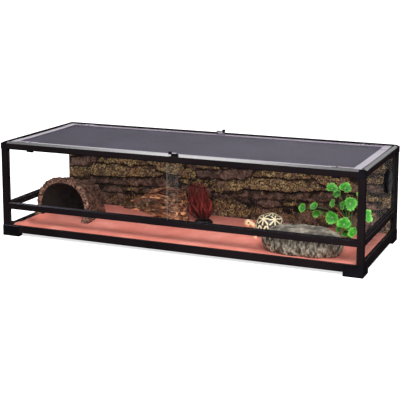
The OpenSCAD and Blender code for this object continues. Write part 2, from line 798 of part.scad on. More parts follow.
module port_nut() color(plastic_black) at_port(glass_in) difference() {
  cylinder(d = port_nut_d, h = port_nut_t);
  translate([0, 0, -cut]) cylinder(d = neck_d + 2 * spigot_gap, h = port_nut_t + 2 * cut);
}

module port_cap() color(plastic_black) at_port(glass_out - port_flange_t - cap_gap - cap_t) {
  plug_d = port_bore_d - 2 * cap_gap;
  cylinder(d = cap_d, h = cap_t);
  difference() {
    cylinder(d = plug_d, h = cap_t + port_flange_t + glass_t);
    translate([0, 0, cap_t]) cylinder(d = plug_d - 2 * neck_wall, h = port_flange_t + glass_t + cut);
  }
  translate([-plug_d / 2, -neck_wall, -cap_bar_h]) cube([plug_d, 2 * neck_wall, cap_bar_h + cut]);
}

// ---------- decor ----------

// Moves a piece to a point of the floor, counted from the left and front of the tank
module on_floor(from_left, from_front)
  translate([from_left - tank_w / 2, from_front - tank_d / 2, floor_z]) children();

// Keeps what stands over the floor, so that a piece rests on a flat foot
module stand(size = 600) intersection() {
  union() children();
  translate([-size / 2, -size / 2, 0]) cube(size);
}

function squared(c, power) = sign(c) * pow(abs(c), power);

// Ring of the log at y, w wide and h high at its near end, rough by a share of its size
function log_ring(w, h, y, rough) = [for (a = [0:6:180])
  let (far = y / log_len + 0.5, s = 1 + (log_taper - 1) * far + rough * uneven(a + 90 * far, 2))
  [w / 2 * squared(cos(a), log_square) * s, y, h * squared(sin(a), log_square) * s]];

log_square = 0.8; // squareness of the log's arch, 1 for an ellipse
log_steps = 4;    // stretches that the bark is drawn in

// Solid of the log from y0 to y1
module log_solid(w, h, y0, y1, rough)
  skin([for (i = [0:log_steps]) log_ring(w, h, y0 + (y1 - y0) * i / log_steps, rough)]);

module log_hide() color(bark_brown) on_floor(log_from_left, log_from_front) rotate(log_turn)
  difference() {
    log_solid(log_w, log_h, -log_len / 2, log_len / 2, 0.03);
    translate([0, 0, -cut])
      log_solid(log_w - 2 * bark_t, log_h - bark_t + cut, -log_len / 2 - cut, log_len / 2 - log_end_t, 0.01);
  }

// Limbs of the driftwood: points from its foot, and a radius at each
WOOD = [
  [[[28, 0, 10], [18, 2, 36], [4, 4, 70], [-8, 4, 98], [-14, 6, 124]], [20, 21, 20, 14, 5]],
  [[[14, 0, 44], [-30, -6, 76], [-70, -10, 90], [-99, -10, 92], [-132, -12, 75], [-163, -14, 66]],
    [20, 17, 12, 9, 6, 3]],
  [[[22, -6, 18], [-30, -14, 30], [-88, -22, 42], [-140, -26, 47], [-180, -30, 49]], [20, 14, 9, 7, 4]],
  [[[24, -8, 12], [-10, -24, 10], [-52, -34, 7], [-84, -38, 4]], [18, 13, 9, 5]],
  [[[18, 2, 30], [28, 4, 64], [34, 2, 96], [36, 0, 118]], [16, 14, 10, 4]],
  [[[10, 6, 20], [-28, 20, 16], [-72, 32, 9], [-100, 38, 6]], [18, 15, 10, 5]]
];

module driftwood() color([0.58, 0.38, 0.32]) on_floor(wood_from_left, wood_from_front) stand()
  for (piece = WOOD) limb(piece[0], piece[1], [0, 1, 0]);

blades = 12;       // leaves of the red plant
turn_step = 137.5; // turn from one leaf to the next
blade_r = 14;      // half the width of a leaf
blade_spread = 54; // distance of the outer leaves' tips from the middle, along the tank
blade_depth = 0.45; // their distance across the tank, as a share of that
blade_flat = 0.22; // thickness of a leaf, as a share of its width
crown_h = 14;      // height of the crown that the leaves grow from

// Leaf k of the red plant, spreading further out the later it is
module blade(k) {
  az = turn_step * k;
  out = [cos(az), blade_depth * sin(az), 0];
  spread = blade_spread * sqrt((k + 0.5) / blades);
  rise = (red_h - puck_h) * (1 - 0.25 * k / blades);
  limb([for (t = [0, 0.2, 0.6, 1])
      spread * sqrt(sin(90 * t)) * out + [-red_lean * t, 0, puck_h - cut + (rise + cut) * t]],
    [0.3, 0.8, 1, 0.1] * blade_r, [-sin(az), cos(az), 0], blade_flat, 4);
}

module red_plant() color([0.45, 0.13, 0.13]) on_floor(red_from_left, red_from_front)
  difference() {
    union() {
      cylinder(d1 = puck_top_d / 2, d2 = blade_r, h = puck_h + crown_h);
      for (k = [0:blades - 1]) blade(k);
    }
    cylinder(d = puck_d, h = puck_h);
  }

module red_plant_base() color([0.08, 0.08, 0.09]) on_floor(red_from_left, red_from_front)
  cylinder(d1 = puck_d, d2 = puck_top_d, h = puck_h);

shell_w = 0.78 * shell_len; // width of the shell
dome_h = 0.6 * shell_len;   // height of the shell over its rim
shell_lean = 0.1 * shell_len; // how far the top of the shell lies behind its middle

// One ring of the shell, share s of its full size, at share up of the dome's height
function shell_ring(s, up) = [for (k = [0:19]) let (a = -18 * k)
  [shell_len / 2 * s * cos(a) + shell_lean * max(0, up), shell_w / 2 * s * sin(a), leg_h + up * dome_h]];

// Path given in shares of the shell's length, its heights counted from its rim
function on_shell(path) = [for (p = path) p * shell_len + [0, 0, leg_h]];

module tortoise_ornament() color([0.86, 0.74, 0.48])
  on_floor(tank_w - tortoise_from_right, tortoise_from_front) rotate(tortoise_turn) stand() {
    skin([shell_ring(0.7, -0.14), shell_ring(0.92, 0), shell_ring(1, 0.1), shell_ring(0.95, 0.35),
      shell_ring(0.82, 0.62), shell_ring(0.58, 0.85), shell_ring(0.25, 1)]);
    for (sx = [-1, 1], sy = [-1, 1])
      limb(on_shell([[sx * 0.27, sy * 0.21, 0.04], [sx * 0.33, sy * 0.27, -0.1],
        [sx * 0.37, sy * 0.28, -leg_h / shell_len - 0.02]]), [0.09, 0.08, 0.08] * shell_len, [1, 0, 0]);
    limb(on_shell([[-0.35, 0, 0.08], [-0.52, 0, 0.17], [-0.62, 0, 0.23], [-0.75, 0, 0.23],
      [-0.8, 0, 0.2]]), [0.09, 0.08, 0.1, 0.08, 0.03] * shell_len, [0, 1, 0]);
  }

// One ring of the rock, share s of its full size at height z
function rock_ring(s, z) = [for (k = [0:35])
  let (a = -10 * k, power = sin(a) < 0 ? 0.7 : 1, r = s * (1 + 0.03 * uneven(a, 5)))
  [rock_w / 2 * squared(cos(a), power) * r, rock_d / 2 * squared(sin(a), power) * r, z * rock_h]];

module basking_rock() color(stone_grey)
  on_floor(tank_w - rock_from_right, rock_from_front)
    skin([rock_ring(0.86, 0), rock_ring(0.94, 0.14), rock_ring(0.98, 0.4), rock_ring(0.96, 0.62),
      rock_ring(0.87, 0.82), rock_ring(0.67, 0.94), rock_ring(0.35, 1)]);

// Leaves of the green plant: their places from its foot, and their radii
LEAVES = [
  [-142, -34, 98, 13], [-104, -36, 107, 12], [-99, -26, 83, 12], [-47, -36, 170, 18],
  [-5, -34, 174, 19], [-34, -22, 150, 13], [-43, -36, 122, 13], [12, -34, 126, 21],
  [-44, -44, 78, 19], [-4, -46, 62, 22], [24, -40, 36, 17], [56, 6, 81, 20],
  [40, -10, 150, 17], [-70, -6, 134, 15]
];
leaf_t = 1.6;   // thickness of a leaf
leaf_tilt = 62; // lean of a leaf from lying flat, in degrees

module green_plant() color([0.3, 0.6, 0.2])
  on_floor(tank_w - green_from_right, green_from_front) stand() {
    limb([[0, 0, 0], [2, 1, 12], [0, 0, 26]], [9, 6, 3], [1, 0, 0]);
    for (leaf = LEAVES) {
      tip = [leaf[0], leaf[1], leaf[2]];
      limb([[0, 0, 4], [0.1 * tip.x, 0.1 * tip.y, 0.4 * tip.z], [0.5 * tip.x, 0.5 * tip.y, 0.85 * tip.z],
        tip], [3, 2.2, 1.6, 1.2], [0, 1, 0], 1, 6);
      translate(tip) rotate(0.2 * leaf[0]) rotate([leaf_tilt, 0, 0])
        translate([0, 0, -leaf_t / 2]) cylinder(r = leaf[3], h = leaf_t);
    }
  }

foot(-1, -1);  // foot_front_left
foot(1, -1);  // foot_front_right
foot(-1, 1);  // foot_back_left
foot(1, 1);  // foot_back_right
foot_screws();
post(-1, -1);  // post_front_left
post(1, -1);  // post_front_right
post(-1, 1);  // post_back_left
post(1, 1);  // post_back_right
bottom_rail("front");  // bottom_rail_front
bottom_rail("back");  // bottom_rail_back
bottom_rail("left");  // bottom_rail_left
bottom_rail("right");  // bottom_rail_right
mid_rail("front");  // mid_rail_front
mid_rail("left");  // mid_rail_left
mid_rail("right");  // mid_rail_right
top_rail("front");  // top_rail_front
top_rail("back");  // top_rail_back
top_rail("left");  // top_rail_left
top_rail("right");  // top_rail_right
top_corners();
glass_back();
glass_front_lower();
glass_left_upper();
glass_left_lower();
glass_right_upper();
glass_right_lower();
glazing_gaskets();
sill_track();
head_track();
door_left();
door_right();
base_panel();
floor_mat();
background_panel();
lid_rail("front");  // lid_rail_front
lid_rail("back");  // lid_rail_back
lid_rail("left");  // lid_rail_left
lid_rail("right");  // lid_rail_right
lid_corners();
lid_screen();
screen_spline();
gate_front_left();
gate_front_right();
gate_back_left();
gate_back_right();
latch_studs();
latch_front();
latch_back();
port_flange();
port_nut();
port_cap();
log_hide();
driftwood();
red_plant();
red_plant_base();
tortoise_ornament();
basking_rock();
green_plant();
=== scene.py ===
# %% [markdown]
# # Dressing a reptile terrarium
#
# The frame of this tank is already there: rails, posts, glass and lid come in as exact solids.
# This lesson gives them their finishes and builds what a solid model can't show, such as woven
# wire, bark, moulded rock, leaves and a pile mat. Everything is in metres, with +Z up, the origin
# on the ground under the middle of the tank, and the doors facing -Y.

# %% Load the tank
import math
import random

import bpy
from mathutils import Matrix, Vector, noise


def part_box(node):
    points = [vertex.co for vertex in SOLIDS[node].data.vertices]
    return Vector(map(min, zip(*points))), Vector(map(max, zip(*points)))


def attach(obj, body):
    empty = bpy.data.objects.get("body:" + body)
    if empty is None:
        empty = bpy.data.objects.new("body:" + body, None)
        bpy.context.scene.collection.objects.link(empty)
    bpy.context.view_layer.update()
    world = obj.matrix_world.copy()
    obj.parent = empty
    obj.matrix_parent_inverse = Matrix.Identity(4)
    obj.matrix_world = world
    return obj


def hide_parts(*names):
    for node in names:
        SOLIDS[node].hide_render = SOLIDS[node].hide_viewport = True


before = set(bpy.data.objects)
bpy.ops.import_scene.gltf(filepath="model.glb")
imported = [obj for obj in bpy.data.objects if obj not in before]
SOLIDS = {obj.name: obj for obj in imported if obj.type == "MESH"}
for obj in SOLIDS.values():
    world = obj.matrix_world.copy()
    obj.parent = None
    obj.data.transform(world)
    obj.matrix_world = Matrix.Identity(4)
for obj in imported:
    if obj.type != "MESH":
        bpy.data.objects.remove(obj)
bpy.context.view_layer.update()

# %% [markdown]
# ## Units, colour and nodes
#
# Sizes of real things are easier to read in millimetres, so one value turns them to metres.
# Colours are written as the hex codes that a paint chart gives, and Blender wants them linear.
# Every finish below is a small tree of shader nodes. One helper adds a node with its settings and
# its links, and another starts an empty material. A pattern's scale is one over its real width. The
# Mix node keeps its share at socket 0, its two colours at 6 and 7, and its mixed colour at output 2.

# %% Helpers for finishes
MM = 0.001


def colour(code):
    """Linear RGBA of an sRGB hex code."""
    parts = [int(code[i:i + 2], 16) / 255 for i in (0, 2, 4)]
    return tuple(c / 12.92 if c <= 0.04045 else ((c + 0.055) / 1.055) ** 2.4 for c in parts) + (1.0,)


def add(tree, kind, sockets=(), stops=(), **settings):
    """Adds a node. A socket takes a value, a node's first output or a chosen output; stops are the
    places and hex codes of a colour ramp."""
    node = tree.nodes.new("ShaderNode" + kind)
    for name, value in settings.items():
        setattr(node, name, value)
    for name, value in dict(sockets).items():
        if isinstance(value, bpy.types.Node):
            value = value.outputs[0]
        if isinstance(value, bpy.types.NodeSocket):
            tree.links.new(value, node.inputs[name])
        else:
            node.inputs[name].default_value = value
    for i, (place, code) in enumerate(stops):
        stop = node.color_ramp.elements[i] if i < 2 else node.color_ramp.elements.new(place)
        stop.position, stop.color = place, colour(code)
    return node


def start_finish(name):
    """Empty material, its node tree, and the place on the object in metres."""
    finish = bpy.data.materials.new(name)
    finish.use_nodes = True
    finish.node_tree.nodes.clear()
    print("finish:", name)
    return finish, finish.node_tree, add(finish.node_tree, "TexCoord").outputs["Object"]


print("helpers ready; mid grey is", round(colour("808080")[0], 3))

# %% [markdown]
# ## Camera
#
# A long lens from the right of the doors keeps the tank's uprights nearly parallel. The lens is
# shifted a little, as on a studio camera, so that the tank sits in the middle of the picture.

# %% Camera
IMAGE = 400              # width and height of the picture, in pixels
LENS_LENGTH = 1017.0     # focal length, in pixels
CENTRE_ROW = 115         # row of the picture that the lens looks straight at
CAMERA_PLACE = (1.2785, -3.0012, 0.9014)
CAMERA_DOWN, CAMERA_ROUND = 8.603, 22.99     # degrees that it looks down and is turned to the left
camera_data = bpy.data.cameras.new("studio_camera")
camera_data.sensor_width = 36
camera_data.lens = LENS_LENGTH / IMAGE * camera_data.sensor_width
camera_data.shift_y = (CENTRE_ROW - IMAGE / 2) / IMAGE
camera_data.clip_end = 60
camera = bpy.data.objects.new("studio_camera", camera_data)
camera.location = CAMERA_PLACE
camera.rotation_euler = (math.radians(90 - CAMERA_DOWN), 0, math.radians(CAMERA_ROUND))
bpy.context.collection.objects.link(camera)
bpy.context.scene.camera = camera
print("lens", round(camera_data.lens, 1), "mm, shift", camera_data.shift_y)

# %% [markdown]
# ## Room and light
#
# The room is a white studio. Its world is pure white to the eye and in reflections, and dimmer as
# a lamp, so that a surface renders about as it is painted. A picture of a real room would bring
# windows into the glass, which a plain white one doesn't.

# %% World
LAMP_SHARE = 0.39        # strength of the white world as a lamp, beside 1 to the eye
world = bpy.data.worlds.new("white_studio")
world.use_nodes = True
sky = world.node_tree
sky.nodes.clear()
path = add(sky, "LightPath")
seen = add(sky, "Math", {0: path.outputs["Is Camera Ray"], 1: path.outputs["Is Glossy Ray"]}, operation="ADD")
seen = add(sky, "Math", {0: seen, 1: path.outputs["Is Transmission Ray"]}, operation="ADD", use_clamp=True)
strength = add(sky, "MapRange", {"Value": seen, "To Min": LAMP_SHARE, "To Max": 1.0})
glow = add(sky, "Background", {"Color": colour("ffffff"), "Strength": strength})
add(sky, "OutputWorld", {"Surface": glow})
bpy.context.scene.world = world
print("world as a lamp:", LAMP_SHARE)

# %% [markdown]
# A long strip light hangs over the tank, a little behind it: the sloping top edges of the frame
# mirror it as one bright line. A broad softbox, high in front on the right, lights the inside of
# the tank through its doors. The floor gives a little light of its own to the camera, so that it
# stays white under the tank and still takes a shadow.

# %% Lamps and floor
def softbox(name, place, aim, width, height, power):
    """Rectangular studio lamp at place, turned towards aim."""
    lamp = bpy.data.lights.new(name, "AREA")
    lamp.shape, lamp.size, lamp.size_y, lamp.energy = "RECTANGLE", width, height, power
    holder = bpy.data.objects.new(name, lamp)
    holder.location = place
    holder.rotation_euler = (Vector(aim) - Vector(place)).to_track_quat("-Z", "Y").to_euler()
    bpy.context.collection.objects.link(holder)


softbox("overhead_strip", (-0.9, 0.5, 2.6), (0, 0, 0.3), 3.4, 0.7, 46)
softbox("front_softbox", (1.5, -2.5, 2.2), (0, 0, 0.1), 1.8, 1.2, 162)

FLOOR_REACH, FLOOR_GLOW = 30, 0.72     # half the floor in metres, and its own light
floor_finish, tree, where = start_finish("studio_floor_paint")
mottle = add(tree, "TexNoise", {"Vector": where, "Scale": 3.0})
pale = add(tree, "ValToRGB", {"Fac": mottle}, stops=[(0.0, "f4f4f4"), (1.0, "ffffff")])
lit = add(tree, "LightPath")
paint = add(tree, "BsdfPrincipled", {"Base Color": pale, "Roughness": 0.9, "Emission Color": colour("ffffff"),
                                     "Specular IOR Level": 0.0})
lift = add(tree, "Math", {0: lit.outputs["Is Camera Ray"], 1: FLOOR_GLOW}, operation="MULTIPLY")
tree.links.new(lift.outputs[0], paint.inputs["Emission Strength"])
add(tree, "OutputMaterial", {"Surface": paint})
floor_mesh = bpy.data.meshes.new("studio_floor")
corners = [(x * FLOOR_REACH, y * FLOOR_REACH, 0) for x, y in ((-1, -1), (1, -1), (1, 1), (-1, 1))]
floor_mesh.from_pydata(corners, [], [(0, 1, 2, 3)])
floor_mesh.materials.append(floor_finish)
studio_floor = bpy.data.objects.new("studio_floor", floor_mesh)
bpy.context.collection.objects.link(studio_floor)

# %% [markdown]
# ## Powder coated aluminium
#
# Posts and rails are aluminium extrusions with a satin black powder coat. The powder melts to a
# skin with a very fine ripple, and its faces give no clear mirror image, so their specular level is
# zero. It is paint, so it isn't metallic. The ripple is drawn 1.6 mm wide, a little coarser than it
# is, so that it shows. The sloping top edge has been rubbed to a gloss by hands and by the lid, so
# a clear coat is added where the face leans at the angle of that slope.

# %% Powder coat
powder_coat, tree, where = start_finish("powder_coated_aluminium")
drift = add(tree, "TexNoise", {"Vector": where, "Scale": 1 / (180 * MM)})
black = add(tree, "ValToRGB", {"Fac": drift}, stops=[(0.3, "110d0f"), (0.7, "191416")])
ripple = add(tree, "TexNoise", {"Vector": where, "Scale": 1 / (1.6 * MM), "Detail": 1.0})
skin = add(tree, "Bump", {"Height": ripple, "Strength": 0.2, "Distance": 0.05 * MM})
slope = add(tree, "SeparateXYZ", {"Vector": add(tree, "TexCoord").outputs["Normal"]}).outputs["Z"]
rubbed = add(tree, "ValToRGB", {"Fac": slope},
             stops=[(0.7, "000000"), (0.8, "ffffff"), (0.93, "ffffff"), (0.97, "000000")])
paint = add(tree, "BsdfPrincipled", {"Base Color": black, "Roughness": 0.34, "IOR": 1.5, "Normal": skin,
                                     "Specular IOR Level": 0.0, "Coat Weight": rubbed, "Coat Roughness": 0.25,
                                     "Coat IOR": 1.9})
add(tree, "OutputMaterial", {"Surface": paint})

# %% [markdown]
# ## Moulded nylon
#
# Feet, top corners, tracks, gates and latches are black nylon mouldings. Nylon is duller than paint,
# and its mould was spark-eroded, which leaves a fine even grain. The level faces towards the left end
# are painted lilac-grey as a painted sheen, the reflection of the bright room, fading to the right.
# Gates, latches and the cable port come from a polished mould, so a second nylon is smoother and
# shines a little.

# %% Nylon
SHEEN_FROM, SHEEN_FULL = -0.15, -0.5      # where along the tank, in metres, the painted sheen starts and is full
nylons = []
for name, rough, shine in (("moulded_nylon", 0.6, 0.0), ("polished_nylon", 0.4, 0.008)):
    moulding, tree, where = start_finish(name)
    drift = add(tree, "TexNoise", {"Vector": where, "Scale": 1 / (60 * MM)})
    black = add(tree, "ValToRGB", {"Fac": drift}, stops=[(0.3, "0b0a0c"), (0.7, "141216")])
    slope = add(tree, "SeparateXYZ", {"Vector": add(tree, "TexCoord").outputs["Normal"]}).outputs["Z"]
    level = add(tree, "ValToRGB", {"Fac": slope}, stops=[(0.9, "000000"), (0.98, "ffffff")])
    length = add(tree, "SeparateXYZ", {"Vector": where}).outputs["X"]
    painted_sheen = add(tree, "MapRange", {"Value": length, "From Min": SHEEN_FROM, "From Max": SHEEN_FULL})
    painted_sheen = add(tree, "Math", {0: painted_sheen, 1: level}, operation="MULTIPLY")
    # painted sheen: level faces towards the left end turn lilac-grey, a reflection of the bright room
    black = add(tree, "Mix", {0: painted_sheen, 6: black, 7: colour("a49fab")}, data_type="RGBA").outputs[2]
    grain = add(tree, "TexVoronoi", {"Vector": where, "Scale": 1 / (0.8 * MM)})
    pits = add(tree, "Bump", {"Height": grain, "Strength": 0.3, "Distance": 0.06 * MM})
    body = add(tree, "BsdfPrincipled", {"Base Color": black, "Roughness": rough, "IOR": 1.53, "Normal": pits,
                                        "Specular IOR Level": shine})
    add(tree, "OutputMaterial", {"Surface": body})
    nylons.append(moulding)
nylon, polished_nylon = nylons

# %% [markdown]
# ## Satin lid coat
#
# The lid's rails and corners are aluminium with a dark satin lacquer. Seen low across its face it
# mirrors the bright room, so it reads much paler than the frame around it. The lilac-grey of its base
# colour is painted reflection of that room, over the real mirror of the coat.

# %% Lid coat
lid_coat, tree, where = start_finish("satin_lacquered_aluminium")
drift = add(tree, "TexNoise", {"Vector": where, "Scale": 1 / (90 * MM)})
# painted reflection: the lilac-grey base colour stands in for the room mirrored in the dark lacquer
painted_reflection_lilac = add(tree, "ValToRGB", {"Fac": drift}, stops=[(0.3, "7f7385"), (0.7, "908496")])
ripple = add(tree, "TexNoise", {"Vector": where, "Scale": 1 / (2.2 * MM), "Detail": 1.0})
skin = add(tree, "Bump", {"Height": ripple, "Strength": 0.2, "Distance": 0.05 * MM})
metal = add(tree, "BsdfPrincipled", {"Base Color": painted_reflection_lilac, "Metallic": 0.7, "Roughness": 0.3, "Normal": skin,
                                     "Coat Weight": 0.4, "Coat Roughness": 0.15})
add(tree, "OutputMaterial", {"Surface": metal})

# %% [markdown]
# ## Rubber, zinc and board
#
# Small supporting finishes: black rubber for the gaskets, which dulls as it blooms, zinc plate for
# screws and studs, with its crystal spangle, and the foamed board under the mat. Rubber is one of
# several smooth finishes of this tank that only drift between two colours, so a helper makes them.

# %% Rubber, zinc, board
def drifting_finish(name, patch, stops, rough, shine=0.5):
    """Smooth finish whose colour drifts in patches of a width in mm."""
    finish, tree, where = start_finish(name)
    drift = add(tree, "TexNoise", {"Vector": where, "Scale": 1 / (patch * MM)})
    tone = add(tree, "ValToRGB", {"Fac": drift}, stops=stops)
    body = add(tree, "BsdfPrincipled", {"Base Color": tone, "Roughness": rough, "Specular IOR Level": shine})
    add(tree, "OutputMaterial", {"Surface": body})
    return finish


gasket_rubber = drifting_finish("gasket_rubber", 25, [(0.3, "0f0e10"), (0.75, "1a191b")], 0.7, shine=0.3)

zinc_plate, tree, where = start_finish("zinc_plate")
spangle = add(tree, "TexVoronoi", {"Vector": where, "Scale": 1 / (2.5 * MM)})
silver = add(tree, "ValToRGB", {"Fac": spangle}, stops=[(0.1, "a9aaad"), (0.8, "c3c4c7")])
metal = add(tree, "BsdfPrincipled", {"Base Color": silver, "Metallic": 1.0, "Roughness": 0.32})
add(tree, "OutputMaterial", {"Surface": metal})

base_board, tree, where = start_finish("foamed_board")
flow = add(tree, "TexNoise", {"Vector": where, "Scale": 1 / (12 * MM), "Detail": 4.0})
black = add(tree, "ValToRGB", {"Fac": flow}, stops=[(0.3, "232123"), (0.7, "343234")])
dimples = add(tree, "Bump", {"Height": flow, "Strength": 0.2, "Distance": 0.1 * MM})
body = add(tree, "BsdfPrincipled", {"Base Color": black, "Roughness": 0.9, "Normal": dimples,
                                    "Specular IOR Level": 0.0})
add(tree, "OutputMaterial", {"Surface": body})

# %% [markdown]
# ## Float glass
#
# Panes are clear float glass. A pane bends nothing that the eye can see, so it is drawn as clear
# film with a mirror over it, whose share grows towards a grazing view, as Schlick's rule has it.
# That keeps the inside of the tank bright, where true refraction would block the lamps. A faint
# haze of dust lies on it. Where the two doors overlap no cloth gets between them, so one glass is
# given more dust. The bevel along cut edges is ground, which makes it milky and green.

# %% Glass
GRAZING_MIRROR = 0.04      # share of the mirror at a fully grazing view
glasses = []
for name, most_dust in (("float_glass", 0.003), ("dusty_float_glass", 0.014)):
    glass, tree, where = start_finish(name)
    clear = add(tree, "BsdfTransparent", {"Color": colour("ffffff")})
    mirror = add(tree, "BsdfGlossy", {"Color": colour("dfe8e8"), "Roughness": 0.03})
    facing = add(tree, "LayerWeight", {"Blend": 0.5}).outputs["Facing"]
    graze = add(tree, "Math", {0: facing, 1: 5.0}, operation="POWER")
    share = add(tree, "MapRange", {"Value": graze, "To Min": 0.0, "To Max": GRAZING_MIRROR})
    pane = add(tree, "MixShader", {0: share, 1: clear, 2: mirror})
    dust = add(tree, "TexNoise", {"Vector": where, "Scale": 1 / (140 * MM), "Detail": 3.0})
    cover = add(tree, "MapRange", {"Value": dust, "To Min": most_dust / 3, "To Max": most_dust})
    haze = add(tree, "BsdfDiffuse", {"Color": colour("d0ccc8")})
    pane = add(tree, "MixShader", {0: cover, 1: pane, 2: haze})
    add(tree, "OutputMaterial", {"Surface": pane})
    glasses.append(glass)
float_glass, dusty_glass = glasses

ground_edge, tree, where = start_finish("ground_glass_edge")
scratch = add(tree, "TexNoise", {"Vector": where, "Scale": 1 / (3 * MM), "Detail": 4.0})
milky = add(tree, "ValToRGB", {"Fac": scratch}, stops=[(0.3, "54574f"), (0.75, "7e8076")])
lines = add(tree, "Bump", {"Height": scratch, "Strength": 0.3, "Distance": 0.05 * MM})
edge = add(tree, "BsdfPrincipled", {"Base Color": milky, "Roughness": 0.45, "IOR": 1.52, "Normal": lines})
add(tree, "OutputMaterial", {"Surface": edge})

# %% [markdown]
# ## Finishes on the solids
#
# The solids that are already right keep their shape and only take a finish. A narrow bevel breaks
# their edges, because no real edge is perfectly sharp, and light catches on the break.

# %% Dress the frame and the lid
WEARS = {
    powder_coat: ("post_", "bottom_rail_", "mid_rail_", "top_rail_"),
    nylon: ("foot_front", "foot_back", "top_corners", "sill_track", "head_track"),
    polished_nylon: ("gate_", "latch_front", "latch_back", "port_"),
    lid_coat: ("lid_rail_", "lid_corners"),
    gasket_rubber: ("glazing_gaskets", "screen_spline"),
    zinc_plate: ("foot_screws", "latch_studs"),
    base_board: ("base_panel",),
    float_glass: ("glass_",),
}
BROKEN_EDGE, SHARP = 0.4 * MM, math.radians(40)     # width of the bevel, and the least corner that gets one
for finish, starts in WEARS.items():
    for name in [n for n in SOLIDS if n.startswith(starts)]:
        solid = SOLIDS[name]
        solid.data.materials.clear()
        solid.data.materials.append(finish)
        if finish in (powder_coat, nylon, polished_nylon, lid_coat):
            solid.modifiers.new("join_faces", "WELD").merge_threshold = 0.01 * MM
            bevel = solid.modifiers.new("broken_edges", "BEVEL")
            bevel.width, bevel.segments, bevel.limit_method = BROKEN_EDGE, 2, "ANGLE"
            bevel.angle_limit = SHARP
    print(finish.name, "on", sum(n.startswith(starts) for n in SOLIDS), "solids")

# %% [markdown]
# ## New pieces
#
# Pieces that need more than a finish are built as meshes from points in millimetres. Each rides
# on the body that carries it, and stands in for its plain solid. Marks are numbers kept on the
# points, such as how deep a point lies in a crevice, and a finish reads them by name. Most pieces
# are rows of points, and a second helper joins such rows with faces.

# %% Helpers for pieces
def settle(name, points, faces, finishes, body, solids, marks=(), finish_of=None, smooth=True):
    """Makes a mesh piece in the place of solids, with named numbers on its points."""
    shape = bpy.data.meshes.new(name)
    shape.from_pydata([tuple(c * MM for c in p) for p in points], [], faces)
    for finish in finishes:
        shape.materials.append(finish)
    shape.polygons.foreach_set("use_smooth", [smooth] * len(shape.polygons))
    if finish_of:
        shape.polygons.foreach_set("material_index", finish_of)
    for mark, values in dict(marks).items():
        shape.attributes.new(mark, "FLOAT", "POINT").data.foreach_set("value", values)
    shape.update()
    piece = bpy.data.objects.new(name, shape)
    bpy.context.collection.objects.link(piece)
    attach(piece, body)
    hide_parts(*solids)
    print(name, "has", len(shape.vertices), "points")
    return piece


def grid_faces(rows, columns, start=0, closed=False, flip=False):
    """Quads between rows of points; closed joins the last column to the first."""
    faces = []
    for r in range(rows - 1):
        for c in range(columns if closed else columns - 1):
            a, b = start + r * columns + c, start + r * columns + (c + 1) % columns
            quad = (a, b, b + columns, a + columns)
            faces.append(quad[::-1] if flip else quad)
    return faces


print("piece helpers ready")

# %% [markdown]
# ## Sliding doors
#
# Each door is a sheet of float glass whose cut edges are ground and bevelled, so its sides catch
# the light as a fine line. The solid could be kept with a second finish on its edges, but it has no
# bevel and no face of its own where the doors overlap. So the sheet is an outline drawn up in
# height, with the ground finish on its bevels and clear glass on the rest. The left door runs
# behind the right one, and its face is cut where their overlap starts, for the dusty glass.

# %% Doors
ARRIS = {"door_left": 0.15, "door_right": 0.7}      # width of a door's ground bevels in mm
overlap_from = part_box("door_right")[0][0] / MM
for name, arris in ARRIS.items():
    (x0, y0, z0), (x1, y1, z1) = [[c / MM for c in v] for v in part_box(name)]
    cut = min(x1 - 2 * arris, overlap_from) if name == "door_left" else x0 + 2 * arris
    side = [(x0, y0 + arris), (x0 + arris, y0), (cut, y0), (x1 - arris, y0), (x1, y0 + arris),
            (x1, y1 - arris), (x1 - arris, y1), (cut, y1), (x0 + arris, y1), (x0, y1 - arris)]
    count = len(side)
    points = [(x, y, z) for z in (z0, z1) for x, y in side]
    faces = grid_faces(2, count, closed=True) + [tuple(range(count))[::-1], tuple(range(count, 2 * count))]
    dusty = 2 if name == "door_left" else 1
    finish_of = [0, 1, dusty, 0, 1, 0, dusty, 1, 0, 1, 0, 0]     # round the outline, then its two ends
    settle(name + "_glass", points, faces, [ground_edge, float_glass, dusty_glass][:dusty + 1],
           name.replace("door_", "") + "_door", [name], finish_of=finish_of, smooth=False)

# %% [markdown]
# ## Moulded rock background
#
# The back wall is hard foam, moulded from one 600 mm tile of layered rock that is laid twice, and
# the second is cut to fit. It is painted dark and then dry-brushed: a nearly dry brush dragged over
# it leaves tan and gold only on the raised fibres. A displaced texture would leave flat sides, so
# the relief is modelled. Each slab of the tile is given by its lower and its upper edge. Between
# the rails the ends of the foam have lugs that reach the side glass.

